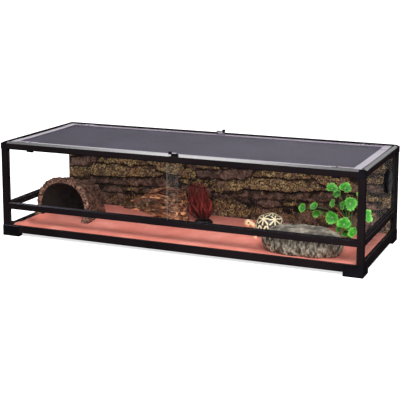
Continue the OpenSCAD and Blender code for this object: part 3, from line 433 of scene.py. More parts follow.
# %% Slabs of the tile
WALL_BACK, WALL_BASE, WALL_REACH = 206.9, 192.8, 14.6     # back, ground and depth of the relief, in mm
WALL_X, WALL_Z = (-587.6, 587.6), (26.2, 279.8)
WALL_GRID, TILE = 2.0, 600
WALL_LUG, LUGS = 6.6, ((36, 88), (113, 300))     # length of the lugs, and their lower and upper ends
WANDER, WANDER_X, WANDER_Z = 38, (9, 4), (5, 3)    # length of an edge's bends, and how far they go
CLUMP, STROKE, FINE_STROKE = 34, (17, 3.4), (12, 2.5)     # clumps of fibres, length and width of fibres
PLAIN = (0.06, 0.15, 30)      # height, gold and lean of the ground between the slabs
SLAB_PART, LUMP_PART, FIBRE_PART = 0.84, 0.08, 0.12     # what slabs, lumps and fibres add to the relief
LUMP_SIZE, GOLD_SIZE = 17, 24     # size of the lumps and of the patches of gold, in mm
SLABS = [      # lower edge, upper edge, then how far it stands out, how golden it is, lean of its fibres
    (((76, 131), (208, 133), (300, 143), (425, 158)),
     ((76, 148), (98, 177), (275, 181), (345, 167), (425, 161)), 1.0, 0.95, 70),
    (((-20, 120), (40, 121), (82, 131)), ((-20, 152), (40, 161), (82, 158)), 0.95, 1.0, 50),
    (((112, 181), (205, 181), (240, 178), (330, 188)),
     ((112, 192), (200, 205), (262, 216), (330, 196)), 0.8, 0.85, 20),
    (((292, 214), (340, 176), (385, 161), (440, 163)),
     ((292, 220), (340, 228), (400, 226), (440, 205)), 0.9, 0.85, 130),
    (((0, 160), (60, 164), (105, 182)), ((0, 194), (60, 198), (105, 200)), 0.45, 0.05, 25),
    (((0, 197), (50, 200), (92, 203)), ((0, 212), (50, 214), (92, 210)), 0.7, 0.9, 10),
    (((270, 196), (300, 176), (338, 166)), ((270, 212), (300, 200), (338, 174)), 0.3, 0.0, 125),
    (((86, 205), (180, 210), (300, 222)), ((86, 262), (180, 268), (300, 270)), 0.5, 0.35, 60),
    (((300, 232), (430, 230), (560, 222)), ((300, 284), (430, 282), (560, 280)), 0.75, 0.6, 40),
    (((0, 218), (40, 222), (84, 216)), ((0, 280), (40, 286), (84, 280)), 0.6, 0.5, 115),
    (((96, 268), (200, 272), (296, 274)), ((96, 290), (200, 290), (296, 290)), 0.8, 0.7, 30),
    (((30, 96), (120, 103), (240, 108), (400, 112)),
     ((30, 118), (120, 124), (240, 130), (400, 146)), 0.35, 0.1, 28),
    (((126, 80), (160, 74), (208, 78)), ((126, 92), (165, 104), (208, 94)), 0.62, 0.2, 140),
    (((222, 104), (270, 106)), ((222, 119), (270, 123)), 0.6, 0.6, 15),
    (((218, 86), (262, 88)), ((218, 102), (262, 103)), 0.85, 1.0, 75),
    (((262, 82), (330, 84), (420, 90)), ((262, 99), (330, 104), (420, 108)), 0.5, 0.3, 35),
    (((100, 22), (190, 22), (232, 22)), ((100, 66), (190, 77), (232, 62)), 0.7, 0.45, 138),
    (((232, 20), (330, 20), (412, 20)), ((232, 60), (330, 78), (412, 80)), 0.85, 0.6, 120),
    (((412, 20), (500, 20), (566, 20)), ((412, 60), (500, 92), (566, 72)), 0.5, 0.3, 45),
    (((425, 152), (470, 150), (500, 146)), ((425, 178), (470, 184), (500, 170)), 0.85, 0.9, 150),
    (((436, 128), (500, 124), (545, 130)), ((436, 140), (500, 144), (545, 142)), 0.9, 0.95, 165),
    (((440, 96), (520, 98), (560, 104)), ((440, 122), (520, 120), (560, 122)), 0.45, 0.2, 60),
    (((505, 188), (580, 190)), ((505, 208), (580, 206)), 0.85, 0.85, 130),
    (((500, 158), (590, 160), (676, 164)), ((500, 184), (590, 186), (676, 184)), 0.4, 0.05, 20),
    (((585, 197), (640, 198), (690, 205)), ((585, 207), (640, 212), (690, 210)), 0.75, 0.8, 12),
    (((552, 110), (620, 113), (672, 118)), ((552, 146), (620, 156), (672, 150)), 0.88, 0.75, 125),
    (((566, 88), (640, 94), (700, 82)), ((566, 106), (640, 109), (700, 108)), 0.3, 0.0, 30),
    (((566, 24), (640, 22), (700, 34)), ((566, 88), (630, 92), (700, 62)), 0.92, 0.8, 115),
]
print("slabs on the tile:", len(SLABS))

# %% [markdown]
# A slab swells towards its lower edge and is undercut beneath it, which gives the dark crevices. A
# point of the wall stands out as far as the highest slab there. Noise bends the edges, so that no
# slab looks drawn with a ruler, and stretched noise lays brushed fibres along each slab's lean.

# %% Relief of the wall
def unit(value):
    """The value, kept from 0 to 1."""
    return min(1.0, max(0.0, value))


def smoothstep(low, high, value):
    """0 below low, 1 above high, and an even curve between."""
    t = unit((value - low) / (high - low))
    return t * t * (3 - 2 * t)


def edge_at(line, u):
    """Height of a slab's edge at u."""
    for (u0, z0), (u1, z1) in zip(line, line[1:]):
        if u <= u1:
            return z0 + (z1 - z0) * (u - u0) / (u1 - u0)
    return line[-1][1]


def slab_at(x, z):
    """Height from 0 to 1, gold, fibre lean and crevice of the rock at a point of the wall. The
    numbers in the steps are how soft the ends and edges of a slab are, in mm."""
    place = Vector((x, 0, z)) / WANDER
    u = (x - WALL_X[0] + WANDER_X[0] * noise.noise(place) + WANDER_X[1] * noise.noise(place * 3.3)) % TILE
    z += WANDER_Z[0] * noise.noise(place + Vector((7, 3, 1)))      # the added vectors pick another place
    z += WANDER_Z[1] * noise.noise(place * 3.1 + Vector((2, 9, 4)))
    best, gold, lean = PLAIN
    groove = 0.0
    for lower, upper, out, paint, turn in SLABS:
        for at in (u, u + TILE):
            if lower[0][0] - 6 < at < lower[-1][0] + 6:
                low, top = edge_at(lower, at), edge_at(upper, at)
                end = smoothstep(-6, 7, min(at - lower[0][0], lower[-1][0] - at))
                up = (z - low) / (top - low)
                height = out * end * (1 - 0.3 * up)
                height *= smoothstep(-2.5, 3.5, z - low) * smoothstep(-7, 9, top - z)
                if height > best:
                    best, gold, lean = height, paint, turn
                groove = max(groove, out * end * smoothstep(-8, -2, z - low) * smoothstep(2, -2, z - low))
    return best * (1 - 0.8 * groove), gold, lean, groove


def fibre_at(x, z, lean):
    """Fibres from 0 to 1 along the lean of the slab, in clumps that lean a little their own way."""
    turn = math.radians(lean) + 0.7 * noise.noise(Vector((x / CLUMP, 11, z / CLUMP)))
    u = x * math.cos(turn) + z * math.sin(turn)
    v = z * math.cos(turn) - x * math.sin(turn)
    stroke = 1 - abs(noise.noise(Vector((u / STROKE[0], v / STROKE[1], 3)))) * 3.8
    fine = 1 - abs(noise.noise(Vector((u / FINE_STROKE[0], v / FINE_STROKE[1], 13)))) * 3.6
    return unit(max(stroke, 0.8 * fine))


print("relief in the middle of the wall:", round(slab_at(0, sum(WALL_Z) / 2)[0], 2))

# %% [markdown]
# The front of the panel is a fine grid. Its border is joined to the back, so that the panel is
# closed like the real one. The mat is closed in the same way, and shares these helpers.

# %% Helpers for panels
def spaced(low, high, step):
    """Places from low to high, about a step apart."""
    count = round((high - low) / step)
    return [low + (high - low) * i / count for i in range(count + 1)]


def border(rows, columns):
    """Points round the edge of a grid, in order."""
    return [c for c in range(columns)] + [r * columns + columns - 1 for r in range(1, rows)] \
        + [(rows - 1) * columns + c for c in range(columns - 2, -1, -1)] \
        + [r * columns for r in range(rows - 2, 0, -1)]


def bridge(near, far):
    """Quads from one border to another."""
    count = len(near)
    return [(near[(i + 1) % count], near[i], far[i], far[(i + 1) % count]) for i in range(count)]


print("border of a grid of 3 by 4:", border(3, 4))

# %% Wall panel
xs, zs = spaced(*WALL_X, WALL_GRID), spaced(*WALL_Z, WALL_GRID)
points, height_mark, brush_mark, gold_mark = [], [], [], []
for z in zs:
    for c, x in enumerate(xs):
        if c in (0, len(xs) - 1) and any(low < z < top for low, top in LUGS):
            x += math.copysign(WALL_LUG, x)
        height, gold, lean, groove = slab_at(x, z)
        fibre = fibre_at(x, z, lean)
        lump = noise.fractal(Vector((x, 40, z)) / LUMP_SIZE, 1.0, 2.0, 3)
        rise = unit(height * SLAB_PART + LUMP_PART * lump + FIBRE_PART * (fibre - 0.3))
        points.append((x, WALL_BASE - WALL_REACH * rise, z))
        height_mark.append(rise)
        brush_mark.append(fibre * (1 - groove) * smoothstep(-0.45, 0.75, gold + 1.1 * lump))
        gold_mark.append(unit(gold + 0.9 * noise.noise(Vector((x, 9, z)) / GOLD_SIZE)))
faces = grid_faces(len(zs), len(xs))
front_faces = len(faces)
rim = border(len(zs), len(xs))
back = range(len(points), len(points) + len(rim))
points += [(points[i][0], WALL_BACK, points[i][2]) for i in rim]
faces += bridge(rim, back) + [tuple(reversed(back))]
for marks in (height_mark, brush_mark, gold_mark):
    marks += [0.0] * len(rim)
print("front of the wall:", len(zs), "rows of", len(xs), "points")

# %% [markdown]
# The paint follows the way the panel is painted. A purplish brown lies on the plain plates and raw umber
# on the golden ones. Both carry painted light and shade from the relief: lighter where it stands out
# and black-brown in the crevices. Where the brush mark is low, in the grooves as painted shade and
# between the fibres, the colour is a little darker. The brushed fibres are a dull red-brown on the
# plates and run through tan to gold on the slabs, with a warm rust here and there. The back and the
# ends of the panel are bare black foam, like the board.

# %% Paint of the wall
rock_paint, tree, where = start_finish("dry_brushed_foam_rock")
height = add(tree, "Attribute", attribute_name="height").outputs["Fac"]
brush = add(tree, "Attribute", attribute_name="brush").outputs["Fac"]
gold = add(tree, "Attribute", attribute_name="gold").outputs["Fac"]
# painted light and shade: both plate colours go from black-brown in the crevices to lighter where the relief
# stands out
plum = add(tree, "ValToRGB", {"Fac": height},
           stops=[(0.0, "1e1513"), (0.12, "4a3a34"), (0.3, "86695d"), (0.9, "ab8d7f")])
umber = add(tree, "ValToRGB", {"Fac": height},
            stops=[(0.0, "1b1210"), (0.12, "332419"), (0.45, "5f4838"), (0.95, "755e4e")])
share = add(tree, "MapRange", {"Value": gold, "From Min": 0.15, "From Max": 0.6})
ground = add(tree, "Mix", {0: share, 6: plum, 7: umber}, data_type="RGBA")
flecks = add(tree, "TexNoise", {"Vector": where, "Scale": 1 / (6 * MM), "Detail": 4.0, "Roughness": 0.7})
fleck_share = add(tree, "ValToRGB", {"Fac": flecks}, stops=[(0.36, "a0a0a0"), (0.5, "ffffff")])
worn = add(tree, "Math", {0: brush, 1: fleck_share}, operation="MULTIPLY")
worn = add(tree, "MapRange", {"Value": worn, "From Min": 0.46, "From Max": 0.92})
# painted shade: a little darker where the brush mark is low, which takes in the grooves
unbrushed_shade = add(tree, "ValToRGB", {"Fac": brush}, stops=[(0.1, "cfcfcf"), (0.4, "ffffff")])
ground = add(tree, "Mix", {0: 1.0, 6: ground.outputs[2], 7: unbrushed_shade}, data_type="RGBA", blend_type="MULTIPLY")
tan = add(tree, "ValToRGB", {"Fac": gold},
          stops=[(0.1, "8f6a55"), (0.4, "b08a62"), (0.7, "c9a56c"), (1.0, "e2c584")])
patches = add(tree, "TexNoise", {"Vector": where, "Scale": 1 / (48 * MM), "Detail": 2.0})
rust_share = add(tree, "ValToRGB", {"Fac": patches}, stops=[(0.48, "000000"), (0.6, "c0c0c0")])
tan = add(tree, "Mix", {0: rust_share, 6: tan, 7: colour("b2763f")}, data_type="RGBA")
mottle = add(tree, "ValToRGB", {"Fac": flecks}, stops=[(0.38, "6c6866"), (0.6, "ffffff")])
ground = add(tree, "Mix", {0: 0.85, 6: ground.outputs[2], 7: mottle}, data_type="RGBA", blend_type="MULTIPLY")
painted = add(tree, "Mix", {0: worn, 6: ground.outputs[2], 7: tan.outputs[2]}, data_type="RGBA")
grit = add(tree, "Bump", {"Height": flecks, "Strength": 0.4, "Distance": 0.6 * MM})
body = add(tree, "BsdfPrincipled", {"Base Color": painted.outputs[2], "Roughness": 0.85, "Normal": grit,
                                    "Specular IOR Level": 0.1})
add(tree, "OutputMaterial", {"Surface": body})
finish_of = [0] * front_faces + [1] * (len(faces) - front_faces)
settle("rock_wall", points, faces, [rock_paint, base_board], "frame", ["background_panel"],
       {"height": height_mark, "brush": brush_mark, "gold": gold_mark}, finish_of=finish_of)

# %% [markdown]
# ## Pile mat
#
# The floor is covered with a sheet of salmon pile matting, cut to size and laid loose. It isn't
# quite flat: long low waves run along the tank, and its left end rides up at the glass. Cloth
# physics could lay it, but the waves would fall somewhere else at each change. So its shape is a
# grid of points with that height, and a lower side a sheet's thickness beneath.

# %% Mat
MAT_X, MAT_Y = (-588.3, 588.3), (-206.8, 177.4)
MAT_LOW, MAT_THICK, MAT_GRID = 26.05, 3.9, 6.0
MAT_HELD = (225, 275)                    # from here to the right the rock holds the mat down
WAVE_HIGH, WAVE_FRONT, WAVE_BACK = 4.2, (-206, -185), (-120, -96)      # height, and where they start and end
WAVE_DEEP, WAVE_BEND = 17, 160           # how close the waves lie, and how slowly they bend along the tank
END_HIGH, END_X, END_WIDE, END_FRONT = 13, -561, 13, (-205, -150)     # the left end rides up at the glass


def mat_lift(x, y):
    """How far the mat stands off the board at a point."""
    share = smoothstep(*WAVE_FRONT, y) * (1 - smoothstep(*WAVE_BACK, y)) * (1 - smoothstep(*MAT_HELD, x))
    wave = 0.5 + 0.5 * math.sin((y - WAVE_FRONT[0]) / WAVE_DEEP + 0.5 * math.sin(x / WAVE_BEND))
    end = math.exp(-((x - END_X + 0.03 * y) / END_WIDE) ** 2) * smoothstep(*END_FRONT, y)
    return WAVE_HIGH * share * wave + END_HIGH * end


xs, ys = spaced(*MAT_X, MAT_GRID), spaced(*MAT_Y, MAT_GRID)
top = [(x, y, MAT_LOW + MAT_THICK + mat_lift(x, y)) for y in ys for x in xs]
points = top + [(x, y, z - MAT_THICK) for x, y, z in top]
under = len(top)
faces = grid_faces(len(ys), len(xs)) + grid_faces(len(ys), len(xs), under, flip=True)
rim = border(len(ys), len(xs))
faces += bridge(rim, [under + i for i in rim])
print("mat rises", round(max(z for _, _, z in top) - MAT_LOW - MAT_THICK, 1), "mm at most")

# %% [markdown]
# Pile is thousands of fibre tips. They scatter light softly at a low angle, which sheen gives, and
# they lie in patches that look lighter or darker. Tufts are drawn 2.4 mm wide, as coarse as a
# close look needs.

# %% Pile
pile, tree, where = start_finish("tufted_polypropylene_pile")
tufts = add(tree, "TexNoise", {"Vector": where, "Scale": 1 / (2.4 * MM), "Detail": 2.0})
nap = add(tree, "TexNoise", {"Vector": where, "Scale": 1 / (70 * MM), "Detail": 3.0})
salmon = add(tree, "ValToRGB", {"Fac": nap}, stops=[(0.3, "d37565"), (0.55, "de8576"), (0.75, "e79687")])
speck = add(tree, "ValToRGB", {"Fac": tufts}, stops=[(0.3, "b8604f"), (0.55, "ffffff")])
dyed = add(tree, "Mix", {0: 0.35, 6: salmon, 7: speck}, data_type="RGBA", blend_type="MULTIPLY")
fuzz = add(tree, "Bump", {"Height": tufts, "Strength": 0.7, "Distance": 0.8 * MM})
body = add(tree, "BsdfPrincipled", {"Base Color": dyed.outputs[2], "Roughness": 0.95, "Normal": fuzz,
                                    "Specular IOR Level": 0.1, "Sheen Weight": 0.25, "Sheen Roughness": 0.5,
                                    "Sheen Tint": colour("f2b4aa")})
add(tree, "OutputMaterial", {"Surface": body})
mat = settle("pile_mat", points, faces, [pile], "frame", ["floor_mat"])

# %% [markdown]
# ## Cork log hide
#
# The hide is half a hollow log, cast to look like bark: a thick arch, narrower at the back, with
# a lumpy outside, a broken ring round its mouth, an inside painted near black as painted shade, and
# a closed far end. A half tube with a thickness modifier would have a smooth, even ring, so every arch
# of it is set point by point.
# Bark is rougher the further a point is from the inside, so the noise moves the outside most, and
# near the mouth the feet spread forward and inward.

# %% Log hide
LOG_PLACE, LOG_TURN = Vector((-467, -2.5, 30)), math.radians(-4)
LOG_W, LOG_H, LOG_LEN, BARK, LOG_END = 222, 146, 142, 20, 8      # mm; the bark's and the far cap's thickness
LOG_FAR, LOG_SQUARE = 0.73, 0.8       # size of the far end beside the mouth, and how square the arch is
LUMP, FLAKE, KNOB, BARK_IN = 4.4, 2.4, 10, 3.4     # how far the shapes of the bark stand out, in mm
LUMPS, FLAKES, KNOBS = (26, 40, 26), (11, 24, 11), (11, 13, 11)     # their sizes across, along and up
FOOT_HIGH, FOOT_DEEP, FOOT_IN, FOOT_OUT = 36, 0.35, 10, 12     # spread of the feet near the mouth


def in_noise(place, size):
    """Place in a noise whose lumps have a size in mm each way."""
    return Vector([c / s for c, s in zip(place, size)])


def arch_point(angle, share, layer):
    """Point of the log and its roughness: angle round the arch, share of the way back, layer 0
    inside to 1 outside."""
    size = 1 + (LOG_FAR - 1) * share
    c, s = math.cos(angle), math.sin(angle)
    w = LOG_W / 2 - BARK * (1 - layer)
    h = LOG_H - BARK * (1 - layer)
    x = w * math.copysign(abs(c) ** LOG_SQUARE, c) * size
    z = h * abs(s) ** LOG_SQUARE * size
    y = -LOG_LEN / 2 + LOG_LEN * share
    lumps = noise.fractal(in_noise((x, y, z), LUMPS) * 1.4 + Vector((5, 2, 9)), 0.9, 2.1, 4)
    flake = 1 - abs(noise.noise(in_noise((x, y, z), FLAKES))) * 2.2
    knob = max(0.0, noise.noise(in_noise((x, y, z), KNOBS) + Vector((3, 8, 1)))) ** 1.4
    out = (LUMP * lumps + FLAKE * flake + KNOB * knob - BARK_IN) * (0.15 + 0.85 * layer)
    outward = Vector((x / LOG_W, 0, z / LOG_H)).normalized()
    point = Vector((x, y, z)) + outward * out
    foot = smoothstep(FOOT_HIGH, 0, z) * smoothstep(FOOT_DEEP, 0.0, share)
    point -= Vector((math.copysign(FOOT_IN * (1 - layer), c), FOOT_OUT, 0)) * foot
    point.z = max(0.0, point.z) if 0.02 < angle < math.pi - 0.02 else 0.0
    return point, lumps + 0.9 * flake + 1.4 * knob


print("top of the mouth:", [round(v) for v in arch_point(math.pi / 2, 0.0, 1.0)[0]])

# %% [markdown]
# The arches are laid in one order: the far cap, the outside up to the mouth, the broken ring, the
# inside and the inner cap. So each arch only has to be joined to the next. Last, strips along the
# feet join the outside to the inside.

# %% Arches of the log
LOG_ROUND, LOG_DEEP = 121, 34     # points round an arch, and steps from the far end to the mouth
CRUMB_SIZE, FINE_CRUMB = 8, 3.4   # size of the crumbs of the broken ring, in mm
CAP_PUSH, RING_PUSH = 1.5, 3.4    # how far crumbs push points along the log, in mm
MOUTH, INSIDE = 0.5, 1.0        # marks of the parts of the bark that are broken and that are painted dark as shade
turned = Matrix.Rotation(LOG_TURN, 3, "Z")
points, faces, bark_mark, part_mark, rings = [], [], [], [], []


def add_arch(share, layer, part, shrink=1.0, push=0.0):
    """Adds an arch of points, shrunk to the floor for a cap and pushed unevenly along the log."""
    rings.append(range(len(points), len(points) + LOG_ROUND))
    for a in range(LOG_ROUND):
        point, rough = arch_point(math.pi * a / (LOG_ROUND - 1), share, layer)
        crumble = noise.noise(Vector((point.x / CRUMB_SIZE, 7 * share, point.z / CRUMB_SIZE)))
        crumble += 0.5 * noise.noise(point / FINE_CRUMB)
        point = Vector((point.x * shrink, point.y + push * crumble, point.z * shrink))
        points.append(LOG_PLACE + turned @ point)
        bark_mark.append(crumble if part == MOUTH else rough)
        part_mark.append(part)


deepest = 1 - LOG_END / LOG_LEN
for shrink in (0.02, 0.25, 0.5, 0.75):                       # outer cap of the far end
    add_arch(1.0, 1.0, 0.0, shrink, CAP_PUSH)
for i in range(LOG_DEEP, -1, -1):                            # outside, from the far end to the mouth
    add_arch(i / LOG_DEEP, 1.0, 0.0)
for layer in (0.85, 0.7, 0.55, 0.4, 0.25, 0.1):              # broken ring of the mouth
    add_arch(0.0, layer, MOUTH, push=RING_PUSH)
for i in range(LOG_DEEP + 1):                                # inside, from the mouth to the cap
    add_arch(deepest * i / LOG_DEEP, 0.0, INSIDE)
for shrink in (0.75, 0.5, 0.25, 0.02):                       # inner cap
    add_arch(deepest, 0.0, INSIDE, shrink, CAP_PUSH)
for near, far in zip(rings, rings[1:]):
    for a in range(LOG_ROUND - 1):
        faces.append((near[a], near[a + 1], far[a + 1], far[a]))
for a in (0, LOG_ROUND - 1):                                 # the feet: outside joined to inside
    feet = [ring[a] for ring in rings]
    for i in range(len(rings) // 2 - 1):
        j = len(rings) - 1 - i
        strip = (feet[i], feet[i + 1], feet[j - 1], feet[j])
        faces.append(strip if a == 0 else strip[::-1])
print("log hide:", len(rings), "arches")

# %% [markdown]
# Cork bark is a warm brown with pinkish broken edges and black-brown clefts. The inside and the inner
# face of the far cap are painted near black: painted shade, for the dark tunnel.

# %% Bark
cork_bark, tree, where = start_finish("painted_cork_bark_cast")
rough = add(tree, "Attribute", attribute_name="bark").outputs["Fac"]
part = add(tree, "Attribute", attribute_name="part").outputs["Fac"]
crumbs = add(tree, "TexNoise", {"Vector": where, "Scale": 1 / (8 * MM), "Detail": 6.0, "Roughness": 0.72})
depth = add(tree, "Math", {0: rough, 1: 0.2}, operation="MULTIPLY")
depth = add(tree, "Math", {0: depth, 1: crumbs}, operation="ADD")
outer = add(tree, "ValToRGB", {"Fac": depth},
            stops=[(0.34, "100907"), (0.5, "35221b"), (0.66, "5f4336"), (0.86, "8c6755")])
depth = add(tree, "Math", {0: rough, 1: 0.16}, operation="MULTIPLY")
depth = add(tree, "Math", {0: depth, 1: crumbs}, operation="ADD")
broken = add(tree, "ValToRGB", {"Fac": depth},
             stops=[(0.36, "1c110e"), (0.46, "553a30"), (0.56, "82604f"), (0.7, "b08c7c")])
# painted shade: the inside and the far cap's inner face are near black, for the dark tunnel
painted_inside_shade = add(tree, "ValToRGB", {"Fac": crumbs}, stops=[(0.3, "0b0807"), (0.7, "1e1917")])
at_end = add(tree, "ValToRGB", {"Fac": part}, stops=[(0.05, "000000"), (0.4, "ffffff")])
inside = add(tree, "ValToRGB", {"Fac": part}, stops=[(0.6, "000000"), (0.9, "ffffff")])
bark = add(tree, "Mix", {0: at_end, 6: outer, 7: broken}, data_type="RGBA")
moss = add(tree, "TexNoise", {"Vector": where, "Scale": 1 / (34 * MM), "Detail": 2.0})
moss_share = add(tree, "ValToRGB", {"Fac": moss}, stops=[(0.5, "000000"), (0.66, "707070")])
bark = add(tree, "Mix", {0: moss_share, 6: bark.outputs[2], 7: colour("4c4228")}, data_type="RGBA")
bark = add(tree, "Mix", {0: inside, 6: bark.outputs[2], 7: painted_inside_shade}, data_type="RGBA")
crust = add(tree, "Bump", {"Height": crumbs, "Strength": 0.9, "Distance": 2.4 * MM})
body = add(tree, "BsdfPrincipled", {"Base Color": bark.outputs[2], "Roughness": 0.85, "Normal": crust,
                                    "Specular IOR Level": 0.25})
add(tree, "OutputMaterial", {"Surface": body})
settle("bark_arch", points, faces, [cork_bark], "frame", ["log_hide"],
       {"bark": bark_mark, "part": part_mark})

# %% [markdown]
# ## Limbs and stems
#
# Roots, stems and legs are tubes that follow a bent path and change in width. Curve objects can
# make them too, but here the points are wanted, to fuse, swell or mark them. So a sweep sets rings
# of points along a smooth path and closes both ends.

# %% Helpers for limbs
def step_at(values, t):
    """Step of a list that share t falls in, and the share of that step."""
    last = len(values) - 1
    i = min(int(t * last), last - 1)
    return i, t * last - i


def along(path, t):
    """Point and direction at share t of a smooth path through points."""
    i, f = step_at(path, t)
    p = [Vector(path[min(max(k, 0), len(path) - 1)]) for k in (i - 1, i, i + 1, i + 2)]
    point = 0.5 * (2 * p[1] + (p[2] - p[0]) * f + (2 * p[0] - 5 * p[1] + 4 * p[2] - p[3]) * f ** 2
                   + (3 * p[1] - 3 * p[2] + p[3] - p[0]) * f ** 3)
    slope = (p[2] - p[0]) + (2 * p[0] - 5 * p[1] + 4 * p[2] - p[3]) * 2 * f \
        + (3 * p[1] - 3 * p[2] + p[3] - p[0]) * 3 * f ** 2
    return point, slope.normalized()


def sweep(points, faces, path, radii, steps, sides=8, across=Vector((0, 1, 0)), flat=1.0):
    """Adds a closed tube along path; across is the way its section is wide, flat its thickness."""
    start = len(points)
    for i in range(steps + 1):
        t = i / steps
        middle, ahead = along(path, t)
        k, f = step_at(radii, t)
        radius = radii[k] + (radii[k + 1] - radii[k]) * (f * f * (3 - 2 * f))
        side = (across - ahead * across.dot(ahead)).normalized()
        up = ahead.cross(side)
        for s in range(sides):
            a = 2 * math.pi * s / sides
            points.append(middle + radius * (math.cos(a) * side + flat * math.sin(a) * up))
    faces.extend(grid_faces(steps + 1, sides, start, closed=True))
    faces.append(tuple(range(start + sides - 1, start - 1, -1)))
    faces.append(tuple(start + steps * sides + s for s in range(sides)))


print("half way along a bend:", along([(0, 0, 0), (1, 0, 0), (1, 1, 0)], 0.5)[0][:])

# %% [markdown]
# ## Driftwood root
#
# The driftwood is a piece of root: a stump whose limbs fan out to thin points. Old root splits
# into long twisted strands, which a plain tube can't show. So each limb is built as a bundle of
# strands that wind round its path, all are fused with a voxel remesh, and noise stretched along
# the wood then cuts the grain.

# %% Limbs of the root
ROOT_PLACE = Vector((-91, 17.5, 30))
ROOTS = [      # points of a limb from the stump, and its radius at each, in mm
    ([(28, 0, 10), (18, 2, 36), (4, 4, 70), (-8, 4, 98), (-14, 6, 124)], (20, 21, 20, 14, 5)),
    ([(14, 0, 44), (-30, -6, 76), (-70, -10, 90), (-99, -10, 92), (-132, -12, 75), (-163, -14, 66)],
     (20, 17, 12, 9, 6, 3)),
    ([(22, -6, 18), (-30, -14, 30), (-88, -22, 42), (-140, -26, 47), (-180, -30, 49)],
     (20, 14, 9, 7.5, 5.5)),
    ([(24, -8, 12), (-10, -24, 10), (-52, -34, 7), (-84, -38, 4)], (18, 13, 9, 5)),
    ([(18, 2, 30), (28, 4, 64), (34, 2, 96), (36, 0, 118)], (16, 14, 10, 4)),
    ([(10, 6, 20), (-28, 20, 16), (-72, 32, 9), (-100, 38, 6)], (18, 15, 10, 5)),
    ([(22, -8, 30), (-20, -18, 52), (-62, -24, 60), (-96, -26, 58)], (17, 12, 8, 3)),
    ([(30, -10, 8), (14, -26, 24), (0, -22, 60), (-6, -14, 92)], (12, 12, 10, 4)),
    ([(10, 0, 104), (26, -8, 74), (38, -16, 36), (46, -20, 4)], (9, 15, 15, 11)),
    ([(0, -6, 96), (8, -18, 58), (10, -30, 22), (8, -36, 4)], (8, 13, 12, 9)),
    ([(-96, -10, 94), (-71, -9, 108), (-40, -8, 114), (-6, -6, 120), (22, -6, 114), (42, -14, 84)],
     (4, 6, 8, 9, 9, 9)),
]
CORE = 0.72                                  # share of a limb's radius that its core fills
STRANDS, STRAND_STEPS, TWIST = 6, 8, 2.2     # strands of a limb, their steps and their most turn
STRAND_FROM, STRAND_WIDE = 0.72, (0.7, 1.15)     # shortest strand as a share of its limb, and their widths
STRAND_OUT, STRAND_STRAY = 0.62, 0.16            # how far out of the core they lie, and stray
chance = random.Random(7)
points, faces = [], []
for path, radii in ROOTS:
    sweep(points, faces, path, [CORE * r for r in radii], 24, 10)
    for k in range(STRANDS):
        turn, wind = 2 * math.pi * k / STRANDS, chance.uniform(-TWIST, TWIST)
        ends = chance.uniform(STRAND_FROM, 1.0)
        trail = []
        for i in range(STRAND_STEPS + 1):
            t = ends * i / STRAND_STEPS
            middle, ahead = along(path, t)
            side = (Vector((0, 1, 0)) - ahead * ahead.y).normalized()
            up = ahead.cross(side)
            step, share = step_at(radii, t)
            radius = radii[step] + (radii[step + 1] - radii[step]) * share
            a = turn + wind * t
            off = radius * (STRAND_OUT + STRAND_STRAY * chance.uniform(-1, 1))
            spot = middle + off * (math.cos(a) * side + math.sin(a) * up)
            trail.append((spot.x, spot.y, max(spot.z, 2.0)))
        width = 0.5 * chance.uniform(*STRAND_WIDE)
        sweep(points, faces, trail, [radii[0] * width, radii[len(radii) // 2] * width, 1.2], 22, 7)
print("strands of the root:", len(points), "points")

# %% [markdown]
# The remesh is run once and its result read back as points, so that the grain can be pushed into
# them. Nothing may pass below the mat, so low points are flattened onto it.

# %% Fuse and grain the root
VOXEL = 2.0                              # size of the remesh in mm
GRAIN, CLEFT, SKIN_IN = 1.7, 2.4, 1.2    # height of the grain and clefts, and the skin taken off, in mm
GRAINS, CLEFTS = (34, 6, 6), (60, 13, 13)      # their sizes along and across the wood
rough_shape = bpy.data.meshes.new("root_rough")
rough_shape.from_pydata(points, [], faces)
rough = bpy.data.objects.new("root_rough", rough_shape)
bpy.context.collection.objects.link(rough)
fuse = rough.modifiers.new("fuse", "REMESH")
fuse.mode, fuse.voxel_size = "VOXEL", VOXEL
fused = bpy.data.meshes.new_from_object(rough.evaluated_get(bpy.context.evaluated_depsgraph_get()))
bpy.data.objects.remove(rough)
points, grain_mark, cleft_mark = [], [], []
for v in fused.vertices:
    p, n = v.co, v.normal
    fall = Vector((p.x * 0.9 + p.z * 0.25, p.y, p.z * 0.8 - p.x * 0.15))
    fine = 1 - abs(noise.noise(in_noise(fall, GRAINS))) * 2.6
    broad = noise.fractal(in_noise(fall, CLEFTS), 1.0, 2.0, 3)
    q = p + n * (GRAIN * fine + CLEFT * broad - SKIN_IN)
    q.z = max(q.z, 0.2)
    points.append(ROOT_PLACE + q)
    grain_mark.append(fine)
    cleft_mark.append(broad)
faces = [tuple(f.vertices) for f in fused.polygons]
print("fused root:", len(points), "points")

# %% [markdown]
# Root wood is a reddish brown. Its colour follows the grain of the strands: pale and orange where the
# grain stands high, dark where it lies low between the strands, and darker in the broad clefts.

